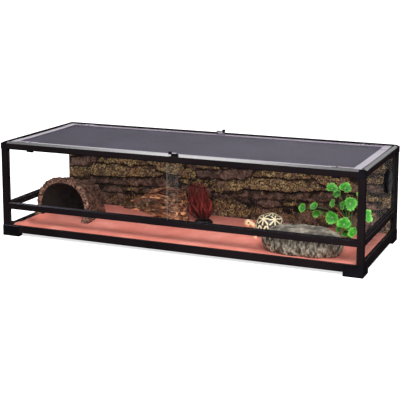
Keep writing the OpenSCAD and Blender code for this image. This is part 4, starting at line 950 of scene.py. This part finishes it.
# %% Wood
root_wood, tree, where = start_finish("weathered_root_wood")
grain = add(tree, "Attribute", attribute_name="grain").outputs["Fac"]
broad = add(tree, "Attribute", attribute_name="broad").outputs["Fac"]
stretched = add(tree, "Mapping", {"Vector": where, "Scale": (1 / (60 * MM), 1 / (8 * MM), 1 / (8 * MM))})
line = add(tree, "TexNoise", {"Vector": stretched, "Scale": 1.0, "Detail": 3.0, "Roughness": 0.55})
depth = add(tree, "Math", {0: grain, 1: 0.3}, operation="MULTIPLY")
depth = add(tree, "Math", {0: depth, 1: line}, operation="ADD")
wood = add(tree, "ValToRGB", {"Fac": depth},
           stops=[(0.36, "2a1811"), (0.5, "5f3a2b"), (0.62, "8f5c43"), (0.74, "c08559"), (0.88, "ecb583")])
tone = add(tree, "ValToRGB", {"Fac": broad}, stops=[(0.0, "6a5f5c"), (0.5, "ffffff")])
wood = add(tree, "Mix", {0: 0.8, 6: wood, 7: tone}, data_type="RGBA", blend_type="MULTIPLY")
checks = add(tree, "Bump", {"Height": line, "Strength": 0.5, "Distance": 1.2 * MM})
body = add(tree, "BsdfPrincipled", {"Base Color": wood.outputs[2], "Roughness": 0.7, "Normal": checks,
                                    "Specular IOR Level": 0.15})
add(tree, "OutputMaterial", {"Surface": body})
settle("root", points, faces, [root_wood], "frame", ["driftwood"],
       {"grain": grain_mark, "broad": cleft_mark})

# %% [markdown]
# ## Red plant
#
# The red plant is soft plastic: a tuft of broad blades like flames, pressed into a black weighted
# base. Flat cards with a cut-out picture would vanish from the side. So every blade is a thin
# closed strip, cupped along its middle, that bows out of a narrow foot like the side of a bowl,
# stands up, sways and narrows to a point. Outer blades are shorter, and the tuft leans to the left.

# %% Blades
RED_PLACE, RED_HIGH, PUCK_HIGH = Vector((-12, 69.5, 30)), 150, 12
BLADES, SPREAD, SPREAD_Y, RED_LEAN = 34, 60, 26, 22     # number, reach sideways and deep, lean to the left
BLADE_STEPS, BLADE_TURN = 18, 137.5     # the golden angle spreads blades evenly round the tuft
BLADE_WIDE, CURL, SWAY, BLADE_ROOT = (7.0, 9.5), (0.0, 0.34), (5, 12), 3     # mm, but curl is a share
SECTION = ((-1, 2.6, 0), (-0.5, 0.7, 0.5), (0, 0, 0.9), (0.5, 0.7, 0.5), (1, 2.6, 0),
           (0.5, 0.7, -0.5), (0, 0, -0.7), (-0.5, 0.7, -0.5))      # share of half the width, cup, thickness
chance = random.Random(11)
points, faces, span_mark, edge_mark = [], [], [], []
for k in range(BLADES):
    way = math.radians(BLADE_TURN * k)
    share = math.sqrt((k + 0.5) / BLADES)
    tall = (RED_HIGH - PUCK_HIGH - 2) * (1 - 0.4 * share ** 3) * chance.uniform(0.84, 1.0)
    out = Vector((math.cos(way) * SPREAD, math.sin(way) * SPREAD_Y, 0)) * share * chance.uniform(0.85, 1.0)
    wide = chance.uniform(*BLADE_WIDE)
    face = Vector((-math.sin(way), math.cos(way), 0)) * 0.5
    face = (face + Vector((1, 0, 0)) * chance.choice((-1, 1))).normalized()
    curl, sway = chance.uniform(*CURL), chance.choice((-1, 1)) * chance.uniform(*SWAY)
    start = len(points)
    for i in range(BLADE_STEPS + 1):
        t = i / BLADE_STEPS
        bow = math.sqrt(math.sin(math.pi / 2 * t)) - curl * t ** 3
        middle = out * bow + face * sway * math.sin(math.pi * t * 2.1) * (0.4 + 0.6 * t)
        middle -= Vector((RED_LEAN * t, 0, 0))
        middle.z = PUCK_HIGH - BLADE_ROOT + (tall + BLADE_ROOT) * t
        half = wide * (0.25 + 0.75 * smoothstep(0.0, 0.4, t)) * (1 - t) ** 0.62
        half = half * (1 + 0.2 * math.sin(12 * t + k)) + 0.2
        normal = face.cross(Vector((0, 0, 1)))
        for s, cup, thick in SECTION:
            points.append(RED_PLACE + middle + face * half * s + normal * (cup * half / wide + thick))
            span_mark.append(t)
            edge_mark.append(abs(s))
    faces.extend(grid_faces(BLADE_STEPS + 1, len(SECTION), start, closed=True))
    faces.append(tuple(reversed(range(start, start + len(SECTION)))))
    faces.append(tuple(range(len(points) - len(SECTION), len(points))))
print("blades:", BLADES, "with", len(points), "points")

# %% [markdown]
# The vinyl is printed: dark wine red along the edges, brighter along the raised middle of a blade,
# with fine ribs. The foot of each blade is in the shade of the others and nearly black.

# %% Red vinyl
red_vinyl, tree, where = start_finish("soft_red_vinyl")
span = add(tree, "Attribute", attribute_name="span").outputs["Fac"]
edge = add(tree, "Attribute", attribute_name="edge").outputs["Fac"]
streak = add(tree, "Mapping", {"Vector": where, "Scale": (1 / (4 * MM), 1 / (4 * MM), 1 / (40 * MM))})
vein = add(tree, "TexNoise", {"Vector": streak, "Scale": 1.0, "Detail": 3.0})
red = add(tree, "ValToRGB", {"Fac": vein}, stops=[(0.3, "4a1412"), (0.52, "7a2522"), (0.72, "a43f35")])
foot = add(tree, "ValToRGB", {"Fac": span}, stops=[(0.02, "3a3030"), (0.25, "b0b0b0"), (0.5, "ffffff")])
red = add(tree, "Mix", {0: 1.0, 6: red, 7: foot}, data_type="RGBA", blend_type="MULTIPLY")
rim = add(tree, "ValToRGB", {"Fac": edge}, stops=[(0.45, "000000"), (0.95, "d0d0d0")])
red = add(tree, "Mix", {0: rim, 6: red.outputs[2], 7: colour("2a0b0c")}, data_type="RGBA")
ribs = add(tree, "Bump", {"Height": vein, "Strength": 0.5, "Distance": 0.6 * MM})
body = add(tree, "BsdfPrincipled", {"Base Color": red.outputs[2], "Roughness": 0.5, "Normal": ribs,
                                    "Specular IOR Level": 0.2})
add(tree, "OutputMaterial", {"Surface": body})
settle("red_blades", points, faces, [red_vinyl], "frame", ["red_plant"],
       {"span": span_mark, "edge": edge_mark})

# %% [markdown]
# The base is a turned-looking puck of gloss black plastic with a rolled shoulder and a lumpy top,
# which shows a small bright glint.

# %% Weighted base
gloss_black, tree, where = start_finish("gloss_black_polystyrene")
cloud = add(tree, "TexNoise", {"Vector": where, "Scale": 1 / (9 * MM), "Detail": 2.0})
black = add(tree, "ValToRGB", {"Fac": cloud}, stops=[(0.3, "09080a"), (0.7, "161418")])
dents = add(tree, "Bump", {"Height": cloud, "Strength": 0.5, "Distance": 1.5 * MM})
body = add(tree, "BsdfPrincipled", {"Base Color": black, "Roughness": 0.16, "Normal": dents})
add(tree, "OutputMaterial", {"Surface": body})
PUCK = [(31.8, 0), (32.9, 1.2), (32.6, 3), (30.5, 6), (27, 9.2), (23.5, 11.4), (20, 11.9)]   # radius, height
PUCK_ROUND = 48
points = []
for radius, height in PUCK:
    for s in range(PUCK_ROUND):
        a = 2 * math.pi * s / PUCK_ROUND
        lump = 1 + 0.012 * math.sin(5 * a) if height > 2 else 1
        points.append(RED_PLACE + Vector((radius * lump * math.cos(a), radius * lump * math.sin(a), height)))
faces = grid_faces(len(PUCK), PUCK_ROUND, closed=True)
faces += [tuple(reversed(range(PUCK_ROUND))), tuple(range(len(points) - PUCK_ROUND, len(points)))]
settle("weighted_base", points, faces, [gloss_black], "frame", ["red_plant_base"])

# %% [markdown]
# ## Star tortoise ornament
#
# The ornament is a cast resin star tortoise. Its shell is a dome of raised plates, each with cream
# rays running from its middle to its edge over black. A star pattern laid on from above would be
# stretched on the steep sides. So each point of the dome looks for the nearest plate middle and
# takes its ray from the angle round it, measured on the plate itself.

# %% Shell
SHELL_PLACE, SHELL_TURN = Vector((245, -6.5, 30)), math.radians(8)
SHELL_LEN, SHELL_W, DOME_HIGH, LEG_HIGH = 96, 74.9, 57.6, 20
RIM_DOWN = 0.86          # share of the way down the shell where its rim starts to turn under
SHELL_LEAN = 0.1         # how far the top lies behind the middle, as a share of the length
PLATES = [(0, 0.02)]                                # a plate's angle round and share of the way down
PLATES += [(60 * k, 0.46) for k in range(6)]        # six round the top one
PLATES += [(15 + 30 * k, 0.86) for k in range(12)]  # and twelve round the rim
RAYS, RAY_WIDE, RAY_FLARE = 7, 1.35, 0.035     # rays of a plate, half their width in mm, and its growth
RAY_SOFT, SPOT, SEAM_WIDE, PLATE_WIDE = 0.9, (2.6, 4.0), 1.6, 13      # edges of ray, spot, seam, plate in mm
PLATE_RISE, SEAM_DEEP, RAY_RISE, SHELL_IN = 1.8, 1.3, 0.5, 2.2      # relief of the shell in mm
RISE_X, RISE_Y, RISE_UP = 48, 38, 0.6     # the way that the relief rises: outwards from the middle, and up
ROUND, DOWN, TOP_GAP = 216, 92, 0.012       # points round the shell and down it, and the flat on its top


def shell_point(round_, down):
    """Point of the plain shell in mm, at an angle round it and a share of the way down."""
    turn = min(1.0, down / RIM_DOWN) * math.pi / 2
    spread = math.sin(turn) ** 0.92
    under = max(0.0, (down - RIM_DOWN) / (1 - RIM_DOWN))
    high = 0.06 + 0.94 * max(0.0, math.cos(turn)) ** 0.8 - 0.18 * under
    flare = 0.98 * (1 - 0.22 * under ** 1.5)
    return Vector(((spread * math.cos(round_) * flare / 2 + SHELL_LEAN * high) * SHELL_LEN,
                   spread * math.sin(round_) * flare / 2 * SHELL_W, LEG_HIGH + high * DOME_HIGH))


print("top of the shell:", [round(v) for v in shell_point(0.0, 0.0)])

# %% [markdown]
# Each plate gets its middle and two directions that lie in it. A point of the dome is then raised
# by how near it is to the plate's middle, by the seam to the next plate and by the ray it lies on.

# %% Plates and rays
middles = []
for round_, down in PLATES:
    middle = shell_point(math.radians(round_), down)
    normal = Vector((middle.x / SHELL_LEN ** 2, middle.y / SHELL_W ** 2,
                     (middle.z - LEG_HIGH) / (2 * DOME_HIGH) ** 2)).normalized()
    across = normal.cross(Vector((0, 0, 1))) if abs(normal.z) < 0.95 else Vector((1, 0, 0))
    across.normalize()
    middles.append((middle, across, normal.cross(across)))
turned = Matrix.Rotation(SHELL_TURN, 3, "Z")
points, faces, ray_mark, seam_mark = [], [], [], []
for d in range(DOWN + 1):
    for r in range(ROUND):
        p = shell_point(2 * math.pi * r / ROUND, TOP_GAP + (1 - TOP_GAP) * d / DOWN)
        near = sorted(((middle - p).length, n) for n, (middle, _, _) in enumerate(middles))[:2]
        (reach, n), (second, _) = near
        middle, across, along_plate = middles[n]
        angle = math.atan2((p - middle).dot(along_plate), (p - middle).dot(across))
        angle = angle * RAYS / (2 * math.pi) + 0.25
        off_ray = abs(angle - round(angle)) / RAYS * 2 * math.pi * reach
        wide = RAY_WIDE * (1 + RAY_FLARE * reach)
        ray = max(1 - smoothstep(wide, wide + RAY_SOFT, off_ray), 1 - smoothstep(*SPOT, reach))
        seam = smoothstep(0.0, SEAM_WIDE, second - reach)
        lift = SEAM_DEEP * seam + PLATE_RISE * (1 - smoothstep(0.0, PLATE_WIDE, reach)) + RAY_RISE * ray
        p += Vector((p.x / RISE_X, p.y / RISE_Y, RISE_UP)).normalized() * (lift - SHELL_IN)
        p.z = min(p.z, LEG_HIGH + DOME_HIGH - 0.2)
        points.append(SHELL_PLACE + turned @ p)
        ray_mark.append(ray)
        seam_mark.append(0.45 + 0.55 * seam)
faces = grid_faces(DOWN + 1, ROUND, closed=True, flip=True)
faces += [tuple(range(ROUND)), tuple(len(points) - 1 - r for r in range(ROUND))]
print("shell:", len(PLATES), "plates")

# %% [markdown]
# The resin is painted cream and black and given a thin lacquer. The brush lets the cream drift
# towards straw, and the seams between plates stay dark.

# %% Shell paint
shell_paint, tree, where = start_finish("painted_resin_shell")
ray = add(tree, "Attribute", attribute_name="ray").outputs["Fac"]
seam = add(tree, "Attribute", attribute_name="seam").outputs["Fac"]
drift = add(tree, "TexNoise", {"Vector": where, "Scale": 1 / (6 * MM), "Detail": 3.0})
cream = add(tree, "ValToRGB", {"Fac": drift}, stops=[(0.3, "d8c08e"), (0.7, "f6eac8")])
black = add(tree, "ValToRGB", {"Fac": drift}, stops=[(0.3, "0e0b08"), (0.7, "241c15")])
star = add(tree, "Math", {0: ray, 1: seam}, operation="MULTIPLY")
shell = add(tree, "Mix", {0: star, 6: black, 7: cream}, data_type="RGBA")
brush = add(tree, "Bump", {"Height": drift, "Strength": 0.3, "Distance": 0.4 * MM})
body = add(tree, "BsdfPrincipled", {"Base Color": shell.outputs[2], "Roughness": 0.4, "Normal": brush})
add(tree, "OutputMaterial", {"Surface": body})
settle("tortoise_shell", points, faces, [shell_paint], "frame", ["tortoise_ornament"],
       {"ray": ray_mark, "seam": seam_mark})

# %% [markdown]
# The skin is the same resin, cast with small pebbled scales and painted in sandy orange and cream.
# A cell pattern makes the scales, and dips between them by a bump.

# %% Skin
skin_paint, tree, where = start_finish("painted_resin_skin")
pebble = add(tree, "TexVoronoi", {"Vector": where, "Scale": 1 / (2.2 * MM)})
drift = add(tree, "TexNoise", {"Vector": where, "Scale": 1 / (11 * MM), "Detail": 3.0})
sand = add(tree, "ValToRGB", {"Fac": drift}, stops=[(0.3, "d29a68"), (0.5, "efc99c"), (0.7, "faead0")])
scale = add(tree, "ValToRGB", {"Fac": pebble}, stops=[(0.2, "ffffff"), (0.8, "c8ac90")])
sand = add(tree, "Mix", {0: 0.6, 6: sand, 7: scale}, data_type="RGBA", blend_type="MULTIPLY")
bumps = add(tree, "Bump", {"Height": pebble, "Strength": 0.5, "Distance": -0.5 * MM})
body = add(tree, "BsdfPrincipled", {"Base Color": sand.outputs[2], "Roughness": 0.5, "Normal": bumps})
add(tree, "OutputMaterial", {"Surface": body})

# %% [markdown]
# Legs, neck and tail are swept along short paths and swollen with a little noise, as a hand-made
# model is never even. Neck and head are one closed form with a blunt snout, and a dark eye sits on
# each side of it.

# %% Legs and head
LEG = [(0.24, 0.2, 0.06), (0.33, 0.26, -0.06), (0.37, 0.28, -0.16), (0.385, 0.285, -0.207)]
NECK = [(-0.35, 0, 0.06), (-0.46, 0, 0.11), (-0.55, 0, 0.18), (-0.59, 0, 0.2), (-0.66, 0, 0.205),
        (-0.73, 0, 0.19), (-0.79, 0, 0.165), (-0.815, 0, 0.155)]
TAIL = [(0.46, 0, 0.02), (0.5, 0, -0.03), (0.52, 0, -0.07)]      # all in shares of the shell's length
SWELL, SWELL_SIZE = (0.6, 0.5), (4.5, 9)      # height and size of the swellings, in mm
limbs = [([(sx * x, sy * y, z) for x, y, z in LEG], (0.10, 0.085, 0.07, 0.082), 0.95)
         for sx in (-1, 1) for sy in (-1, 1)]
limbs.append((NECK, (0.08, 0.08, 0.085, 0.12, 0.15, 0.14, 0.09, 0.03), 0.92))
limbs.append((TAIL, (0.035, 0.025, 0.01), 0.8))
points, faces = [], []
for path, radii, flat in limbs:
    lift = [Vector(p) * SHELL_LEN + Vector((0, 0, LEG_HIGH)) for p in path]
    sweep(points, faces, lift, [r * SHELL_LEN for r in radii], 20, 18, flat=flat)
moved = []
for p in points:
    swell = SWELL[0] * noise.noise(p / SWELL_SIZE[0]) + SWELL[1] * noise.noise(p / SWELL_SIZE[1])
    q = p + (p - Vector((p.x * 0.9, p.y * 0.9, p.z))).normalized() * swell if p.length else p
    q.z = max(0.1, q.z)
    moved.append(SHELL_PLACE + turned @ q)
settle("tortoise_limbs", moved, faces, [skin_paint], "frame", ["tortoise_ornament"])

# %% [markdown]
# An eye is a small bead under gloss lacquer, made as a short sweep that rounds off to a point.

# %% Eyes
EYE = (-0.655, 0.125, 0.235)      # an eye's place in shares of the shell's length; the other is across
eye_paint = drifting_finish("gloss_eye_paint", 2, [(0.3, "0b0908"), (0.7, "1d1511")], 0.12)
points, faces = [], []
for side in (-1, 1):
    eye = Vector((EYE[0], side * EYE[1], EYE[2])) * SHELL_LEN + Vector((0, 0, LEG_HIGH))
    sweep(points, faces, [eye - Vector((0, 2.2 * side, 0)), eye, eye + Vector((0, 1.3 * side, 0.1)),
                          eye + Vector((0, 1.9 * side, 0.1))], (4.2, 4.1, 3.0, 0.3), 8, 14, Vector((1, 0, 0)))
settle("tortoise_eyes", [SHELL_PLACE + turned @ p for p in points], faces, [eye_paint], "frame",
       ["tortoise_ornament"])

# %% [markdown]
# ## Basking rock
#
# The rock is a cast stone slab with a gently domed top and a steep fluted side. A displaced block
# would stretch its faces at the shoulder. So rings of points run from its foot over its shoulder to
# its middle. Noise that is stretched in height makes the flutes of the side, and finer noise pits
# the top.

# %% Rock
ROCK_PLACE = Vector((395, -113.5, 30))
ROCK_W, ROCK_D, ROCK_HIGH = 260, 172, 74
PROFILE = [(0.0, 0.86), (0.05, 0.9), (0.15, 0.94), (0.38, 0.975), (0.6, 0.955), (0.74, 0.9), (0.84, 0.82),
           (0.915, 0.69), (0.96, 0.5), (0.99, 0.28), (1.0, 0.0)]      # height and size of a ring, as shares
ROCK_ROUND, ROCK_RINGS = 240, 76
FLUTE, BULGE, PIT, SIDE_IN, TOP_IN, TOP_BULGE = 1.7, 4.2, 1.9, 0.9, 2.8, 3.2     # relief of the stone in mm
SWAYS, FLUTES, BULGES, PITS = (30, 30, 20), (7, 7, 20), (42, 42, 42), 13      # sizes of its shapes in mm
FLUTE_SWAY, SHOULDER = 5, (0.68, 0.9)      # how far flutes sway, and where side turns to top, as shares
points, faces, flute_mark, top_mark = [], [], [], []
for i in range(ROCK_RINGS + 1):
    t = i / ROCK_RINGS
    high, size = along([(h, s, 0) for h, s in PROFILE], t)[0][:2]
    for k in range(ROCK_ROUND):
        a = 2 * math.pi * k / ROCK_ROUND
        c, s = math.cos(a), math.sin(a)
        power = 0.72 if s < 0 else 1.0
        uneven = 0.5 * math.sin(3 * a - 355) + 0.3 * math.sin(7 * a - 185)
        grow = max(0.0, size) * (1 + 0.028 * uneven)
        p = Vector((ROCK_W / 2 * math.copysign(abs(c) ** power, c) * grow,
                    ROCK_D / 2 * math.copysign(abs(s) ** power, s) * grow, min(high, 1.0) * ROCK_HIGH))
        out = Vector((c, s, 0))
        steep = 1 - smoothstep(*SHOULDER, high + 0.09 * noise.noise(Vector((c * 4, s * 4, 2))))
        sway = FLUTE_SWAY * noise.noise(in_noise(p, SWAYS))
        flute = noise.fractal(in_noise((p.x + sway, p.y + sway, p.z), FLUTES), 0.9, 2.0, 4)
        big = noise.noise(in_noise(p, BULGES))
        pit = noise.fractal(p / PITS, 0.8, 2.1, 4)
        p += out * (steep * (FLUTE * flute - SIDE_IN) + BULGE * big) * min(1.0, size * 2)
        p.z += (1 - steep) * (PIT * pit + TOP_BULGE * big - TOP_IN)
        p.z = min(max(p.z, 0.0), ROCK_HIGH - 0.2)
        points.append(ROCK_PLACE + p)
        flute_mark.append(flute)
        top_mark.append(1 - steep)
faces = grid_faces(ROCK_RINGS + 1, ROCK_ROUND, closed=True)
faces += [tuple(reversed(range(ROCK_ROUND))), tuple(range(len(points) - ROCK_ROUND, len(points)))]
print("rock:", ROCK_RINGS + 1, "rings")

# %% [markdown]
# The cast is mixed grey and then dry-brushed: pale buff on the ridges, brown-black in the flutes,
# and a dusty grey with darker patches on top.

# %% Stone
cast_stone, tree, where = start_finish("dry_brushed_cast_stone")
flute = add(tree, "Attribute", attribute_name="flute").outputs["Fac"]
top = add(tree, "Attribute", attribute_name="top").outputs["Fac"]
bends = add(tree, "TexNoise", {"Vector": where, "Scale": 1 / (26 * MM)}).outputs["Color"]
bent = add(tree, "VectorMath", {0: bends, 1: (9 * MM, 9 * MM, 0), 2: where}, operation="MULTIPLY_ADD")
upright = add(tree, "Mapping", {"Vector": bent, "Scale": (1 / (6 * MM), 1 / (6 * MM), 1 / (19 * MM))})
streak = add(tree, "TexNoise", {"Vector": upright, "Scale": 1.0, "Detail": 4.0, "Roughness": 0.65})
depth = add(tree, "Math", {0: flute, 1: 0.3}, operation="MULTIPLY")
depth = add(tree, "Math", {0: depth, 1: streak}, operation="ADD")
side = add(tree, "ValToRGB", {"Fac": depth},
           stops=[(0.32, "2b221a"), (0.46, "5b5145"), (0.58, "837a6b"), (0.74, "b4ac9a")])
grit = add(tree, "TexNoise", {"Vector": where, "Scale": 1 / (11 * MM), "Detail": 7.0, "Roughness": 0.75})
plain = add(tree, "ValToRGB", {"Fac": grit},
            stops=[(0.34, "4c443b"), (0.45, "7a7266"), (0.56, "9c9586"), (0.72, "c2bcae")])
patches = add(tree, "TexNoise", {"Vector": where, "Scale": 1 / (42 * MM), "Detail": 3.0})
patch_tone = add(tree, "ValToRGB", {"Fac": patches}, stops=[(0.38, "8c8c90"), (0.58, "ffffff")])
plain = add(tree, "Mix", {0: 1.0, 6: plain, 7: patch_tone}, data_type="RGBA", blend_type="MULTIPLY")
shoulder = add(tree, "ValToRGB", {"Fac": top}, stops=[(0.2, "000000"), (0.8, "ffffff")])
stone = add(tree, "Mix", {0: shoulder, 6: side, 7: plain.outputs[2]}, data_type="RGBA")
pits = add(tree, "Bump", {"Height": grit, "Strength": 0.6, "Distance": 1.0 * MM})
body = add(tree, "BsdfPrincipled", {"Base Color": stone.outputs[2], "Roughness": 0.75, "Normal": pits,
                                    "Specular IOR Level": 0.3})
add(tree, "OutputMaterial", {"Surface": body})
settle("rock", points, faces, [cast_stone], "frame", ["basking_rock"],
       {"flute": flute_mark, "top": top_mark})

# %% [markdown]
# ## Green plant
#
# The green plant is moulded plastic: round leaves on wiry stems, like a pennywort. A leaf is a
# shallow dish with a scalloped rim and raised veins that fan from its middle, where its stem
# joins it from below. Its upper and lower sides are rings of points, joined at the rim, because a
# flat sheet would have no thickness for the light to catch.

# %% Leaves
STEM_PLACE = Vector((492, 55.5, 30))
LEAVES = [     # a leaf's place from the foot of the plant and radius in mm, its nod and turn in degrees
    (-142, -34, 98, 15, 72, -32), (-104, -36, 107, 14, 48, -28), (-99, -26, 83, 14, 112, 24),
    (-47, -36, 170, 18, 34, 30), (-5, -34, 174, 19, 38, 26), (-34, -22, 150, 13, 52, -14),
    (-43, -36, 122, 14, 76, -48), (12, -34, 126, 21, 80, 38), (-44, -44, 78, 20, 84, 4),
    (-4, -46, 62, 23, 30, 12), (24, -40, 36, 17, 58, -30), (56, 6, 81, 20, 74, 62),
    (40, -10, 150, 17, 60, 50), (-14, -40, 120, 13, 86, 70),
    (-26, -16, 36, 13, 66, -35), (-10, -10, 20, 12, 40, 25), (2, -20, 46, 12, 70, 15),
]
LEAF_THICK, SCALLOPS, LEAF_RINGS, SPOKES = 1.5, 13, 9, 78
RIM_WAVE, DISH, SINK, FOLD, VEIN_HIGH = 0.07, 0.3, 0.1, 0.14, 0.9      # shares of the radius; the vein in mm
chance = random.Random(5)
points, faces, out_mark, vein_mark = [], [], [], []
for number, (lx, ly, lz, radius, nod, turn) in enumerate(LEAVES):
    lean = Matrix.Rotation(math.radians(turn), 3, "Z") @ Matrix.Rotation(math.radians(nod), 3, "X")
    roll = chance.uniform(0, 6.28)
    for side in (1, -1):
        start = len(points)
        for r in range(LEAF_RINGS + 1):
            share = r / LEAF_RINGS
            for k in range(SPOKES):
                a = 2 * math.pi * k / SPOKES
                waves = RIM_WAVE * math.cos(SCALLOPS * a + roll) + RIM_WAVE * math.sin(3 * a + number)
                scallop = 1 + waves * share ** 3
                dish = radius * (DISH * share ** 2 - SINK + FOLD * share ** 3 * math.sin(4 * a + number))
                vein = max(0.0, math.cos(SCALLOPS * a + roll)) ** 2 * smoothstep(0.08, 0.3, share)
                out = max(share, 0.02) * radius * scallop
                half = LEAF_THICK / 2 * (1 - 0.6 * share)
                p = Vector((out * math.cos(a), out * math.sin(a),
                            dish + side * half + VEIN_HIGH * vein * (1.2 - share)))
                points.append(STEM_PLACE + Vector((lx, ly, lz)) + lean @ p)
                out_mark.append(share)
                vein_mark.append(vein)
        faces += grid_faces(LEAF_RINGS + 1, SPOKES, start, closed=True, flip=side == -1)
        faces.append(tuple(range(start, start + SPOKES))[::-side])
    top_rim, low_rim = len(points) - (LEAF_RINGS + 2) * SPOKES, len(points) - SPOKES
    faces += bridge(range(top_rim, top_rim + SPOKES), range(low_rim, low_rim + SPOKES))
leaf_faces = len(faces)
print("leaves:", len(LEAVES))

# %% [markdown]
# Every stem leaves one thick crown and bends over to the middle of its leaf. Thin brown tendrils
# with small buds wander between them.

# %% Stems and tendrils
TENDRILS, BUDS = 9, 4
CROWN = ((0, 0, 0.1), (2, 1, 12), (1, 0, 24), (0, 0, 30))      # the thick foot that all stems leave
for lx, ly, lz, radius, nod, turn in LEAVES:
    path = [(0, 0, 2), (0.1 * lx, 0.1 * ly, 0.4 * lz), (0.5 * lx, 0.5 * ly, 0.85 * lz),
            (lx, ly + 0.5, lz - 1)]
    sweep(points, faces, [STEM_PLACE + Vector(p) for p in path], (2.6, 2.0, 1.5, 1.0), 16, 7)
sweep(points, faces, [STEM_PLACE + Vector(p) for p in CROWN], (8.5, 6.5, 4, 1.5), 12, 14, Vector((1, 0, 0)))
stem_faces = len(faces)
for lx, ly, lz in [leaf[:3] for leaf in LEAVES[:TENDRILS]]:
    tip = Vector((lx + chance.uniform(-12, 22), ly + chance.uniform(0, 14), lz * chance.uniform(0.55, 1.0)))
    path = [STEM_PLACE + Vector(p) for p in ((2, 2, 8), (0.2 * tip.x, 0.3 * tip.y, 0.55 * tip.z),
                                             (0.6 * tip.x, 0.6 * tip.y, 0.8 * tip.z), tip)]
    sweep(points, faces, path, (1.3, 1.0, 0.8, 0.4), 18, 5)
    for j in range(BUDS):
        spot, ahead = along(path, 0.55 + 0.12 * j)
        bud = spot + Vector((chance.uniform(-6, 6), chance.uniform(-3, 3), chance.uniform(2, 7)))
        sweep(points, faces, [spot, (spot + bud) / 2 + Vector((0, 0, 1)), bud], (0.6, 0.8, 1.3), 5, 5)
marks = len(points) - len(out_mark)
out_mark += [0.0] * marks
vein_mark += [0.0] * marks
print("stems:", len(LEAVES), "tendrils:", TENDRILS)

# %% [markdown]
# The leaves are bright green polyethylene, which lets light through. Their colour is painted paler
# towards the thin rim and the scallops than in the middle, as painted light for that glow. Stems are
# the same plastic in a darker green, and the tendrils are orange-brown.

# %% Leaf plastic
leaf_green, tree, where = start_finish("leaf_polyethylene")
out = add(tree, "Attribute", attribute_name="out").outputs["Fac"]
vein = add(tree, "Attribute", attribute_name="vein").outputs["Fac"]
drift = add(tree, "TexNoise", {"Vector": where, "Scale": 1 / (9 * MM), "Detail": 3.0})
# painted light: paler towards the rim and the scallops, for light shining through the thin plastic
green = add(tree, "ValToRGB", {"Fac": out},
            stops=[(0.0, "c6f7a8"), (0.2, "2c9420"), (0.62, "3fb42c"), (0.84, "6adb48"), (1.0, "b9f588")])
light = add(tree, "Math", {0: vein, 1: 0.55}, operation="MULTIPLY")
green = add(tree, "Mix", {0: light, 6: green, 7: colour("7fe055")}, data_type="RGBA")
shade = add(tree, "ValToRGB", {"Fac": drift}, stops=[(0.3, "7c8c6c"), (0.62, "ffffff")])
green = add(tree, "Mix", {0: 0.8, 6: green.outputs[2], 7: shade}, data_type="RGBA", blend_type="MULTIPLY")
body = add(tree, "BsdfPrincipled", {"Base Color": green.outputs[2], "Roughness": 0.35,
                                    "Specular IOR Level": 0.4, "Subsurface Weight": 0.1,
                                    "Subsurface Radius": (0.002, 0.004, 0.001), "Subsurface Scale": 0.5})
add(tree, "OutputMaterial", {"Surface": body})

stem_green = drifting_finish("stem_polyethylene", 14, [(0.3, "1c4a18"), (0.7, "367b2a")], 0.45)
tendril_brown = drifting_finish("tendril_polyethylene", 8, [(0.3, "7a4a24"), (0.7, "c58d52")], 0.5)
finish_of = [0] * leaf_faces + [1] * (stem_faces - leaf_faces) + [2] * (len(faces) - stem_faces)
settle("round_leaves", points, faces, [leaf_green, stem_green, tendril_brown], "frame", ["green_plant"],
       {"out": out_mark, "vein": vein_mark}, finish_of=finish_of)

# %% [markdown]
# ## Woven screen
#
# The lid is closed with woven steel wire, painted black, that lets light, heat and air through. A
# see-through texture would vanish from the side, so real wires are built. They run over and
# under each other in turn. The real weave has a wire every 1.6 mm; here it is one every 4.4 mm,
# as coarse as it must be to show as a weave and stay light to draw. A wire is a bent bar with
# three sides, since nobody can see that it isn't round.

# %% Screen
(sx0, sy0, sz0), (sx1, sy1, sz1) = [[c / MM for c in v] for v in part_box("lid_screen")]
PITCH, WIRE, WIRE_IN = 4.4, 0.85, 0.6      # spacing, half the width, and how far in the outer wires lie
middle = (sz0 + sz1) / 2
lift = (sz1 - sz0) / 2 - WIRE * 0.5
across, deep = round((sx1 - sx0) / PITCH), round((sy1 - sy0) / PITCH)
xs = [sx0 + WIRE_IN + (sx1 - sx0 - 2 * WIRE_IN) * i / across for i in range(across + 1)]
ys = [sy0 + WIRE_IN + (sy1 - sy0 - 2 * WIRE_IN) * j / deep for j in range(deep + 1)]
points, faces = [], []
for j, y in enumerate(ys):
    start = len(points)
    for i, x in enumerate(xs):
        z = middle + lift * (1 if (i + j) % 2 else -1)
        points += [(x, y - WIRE, z - WIRE * 0.5), (x, y + WIRE, z - WIRE * 0.5), (x, y, z + WIRE * 0.5)]
    faces += grid_faces(len(xs), 3, start, closed=True)
for i, x in enumerate(xs):
    start = len(points)
    for j, y in enumerate(ys):
        z = middle + lift * (-1 if (i + j) % 2 else 1)
        points += [(x + WIRE, y, z - WIRE * 0.5), (x - WIRE, y, z - WIRE * 0.5), (x, y, z + WIRE * 0.5)]
    faces += grid_faces(len(ys), 3, start, closed=True)
print("wires:", len(ys), "along and", len(xs), "across")

# %% [markdown]
# The wire was dipped in a thin dark paint, which is a little blue beside the frame's black.

# %% Painted wire
wire_paint = drifting_finish("painted_steel_wire", 120, [(0.3, "2e2b37"), (0.7, "393542")], 0.45, shine=0.3)
settle("wire_screen", points, faces, [wire_paint], "lid", ["lid_screen"])

# %% [markdown]
# ## Finish
#
# The view transform stays plain, so that colours come out as they were mixed.

# %% Finish
bpy.context.scene.view_settings.view_transform = "Standard"
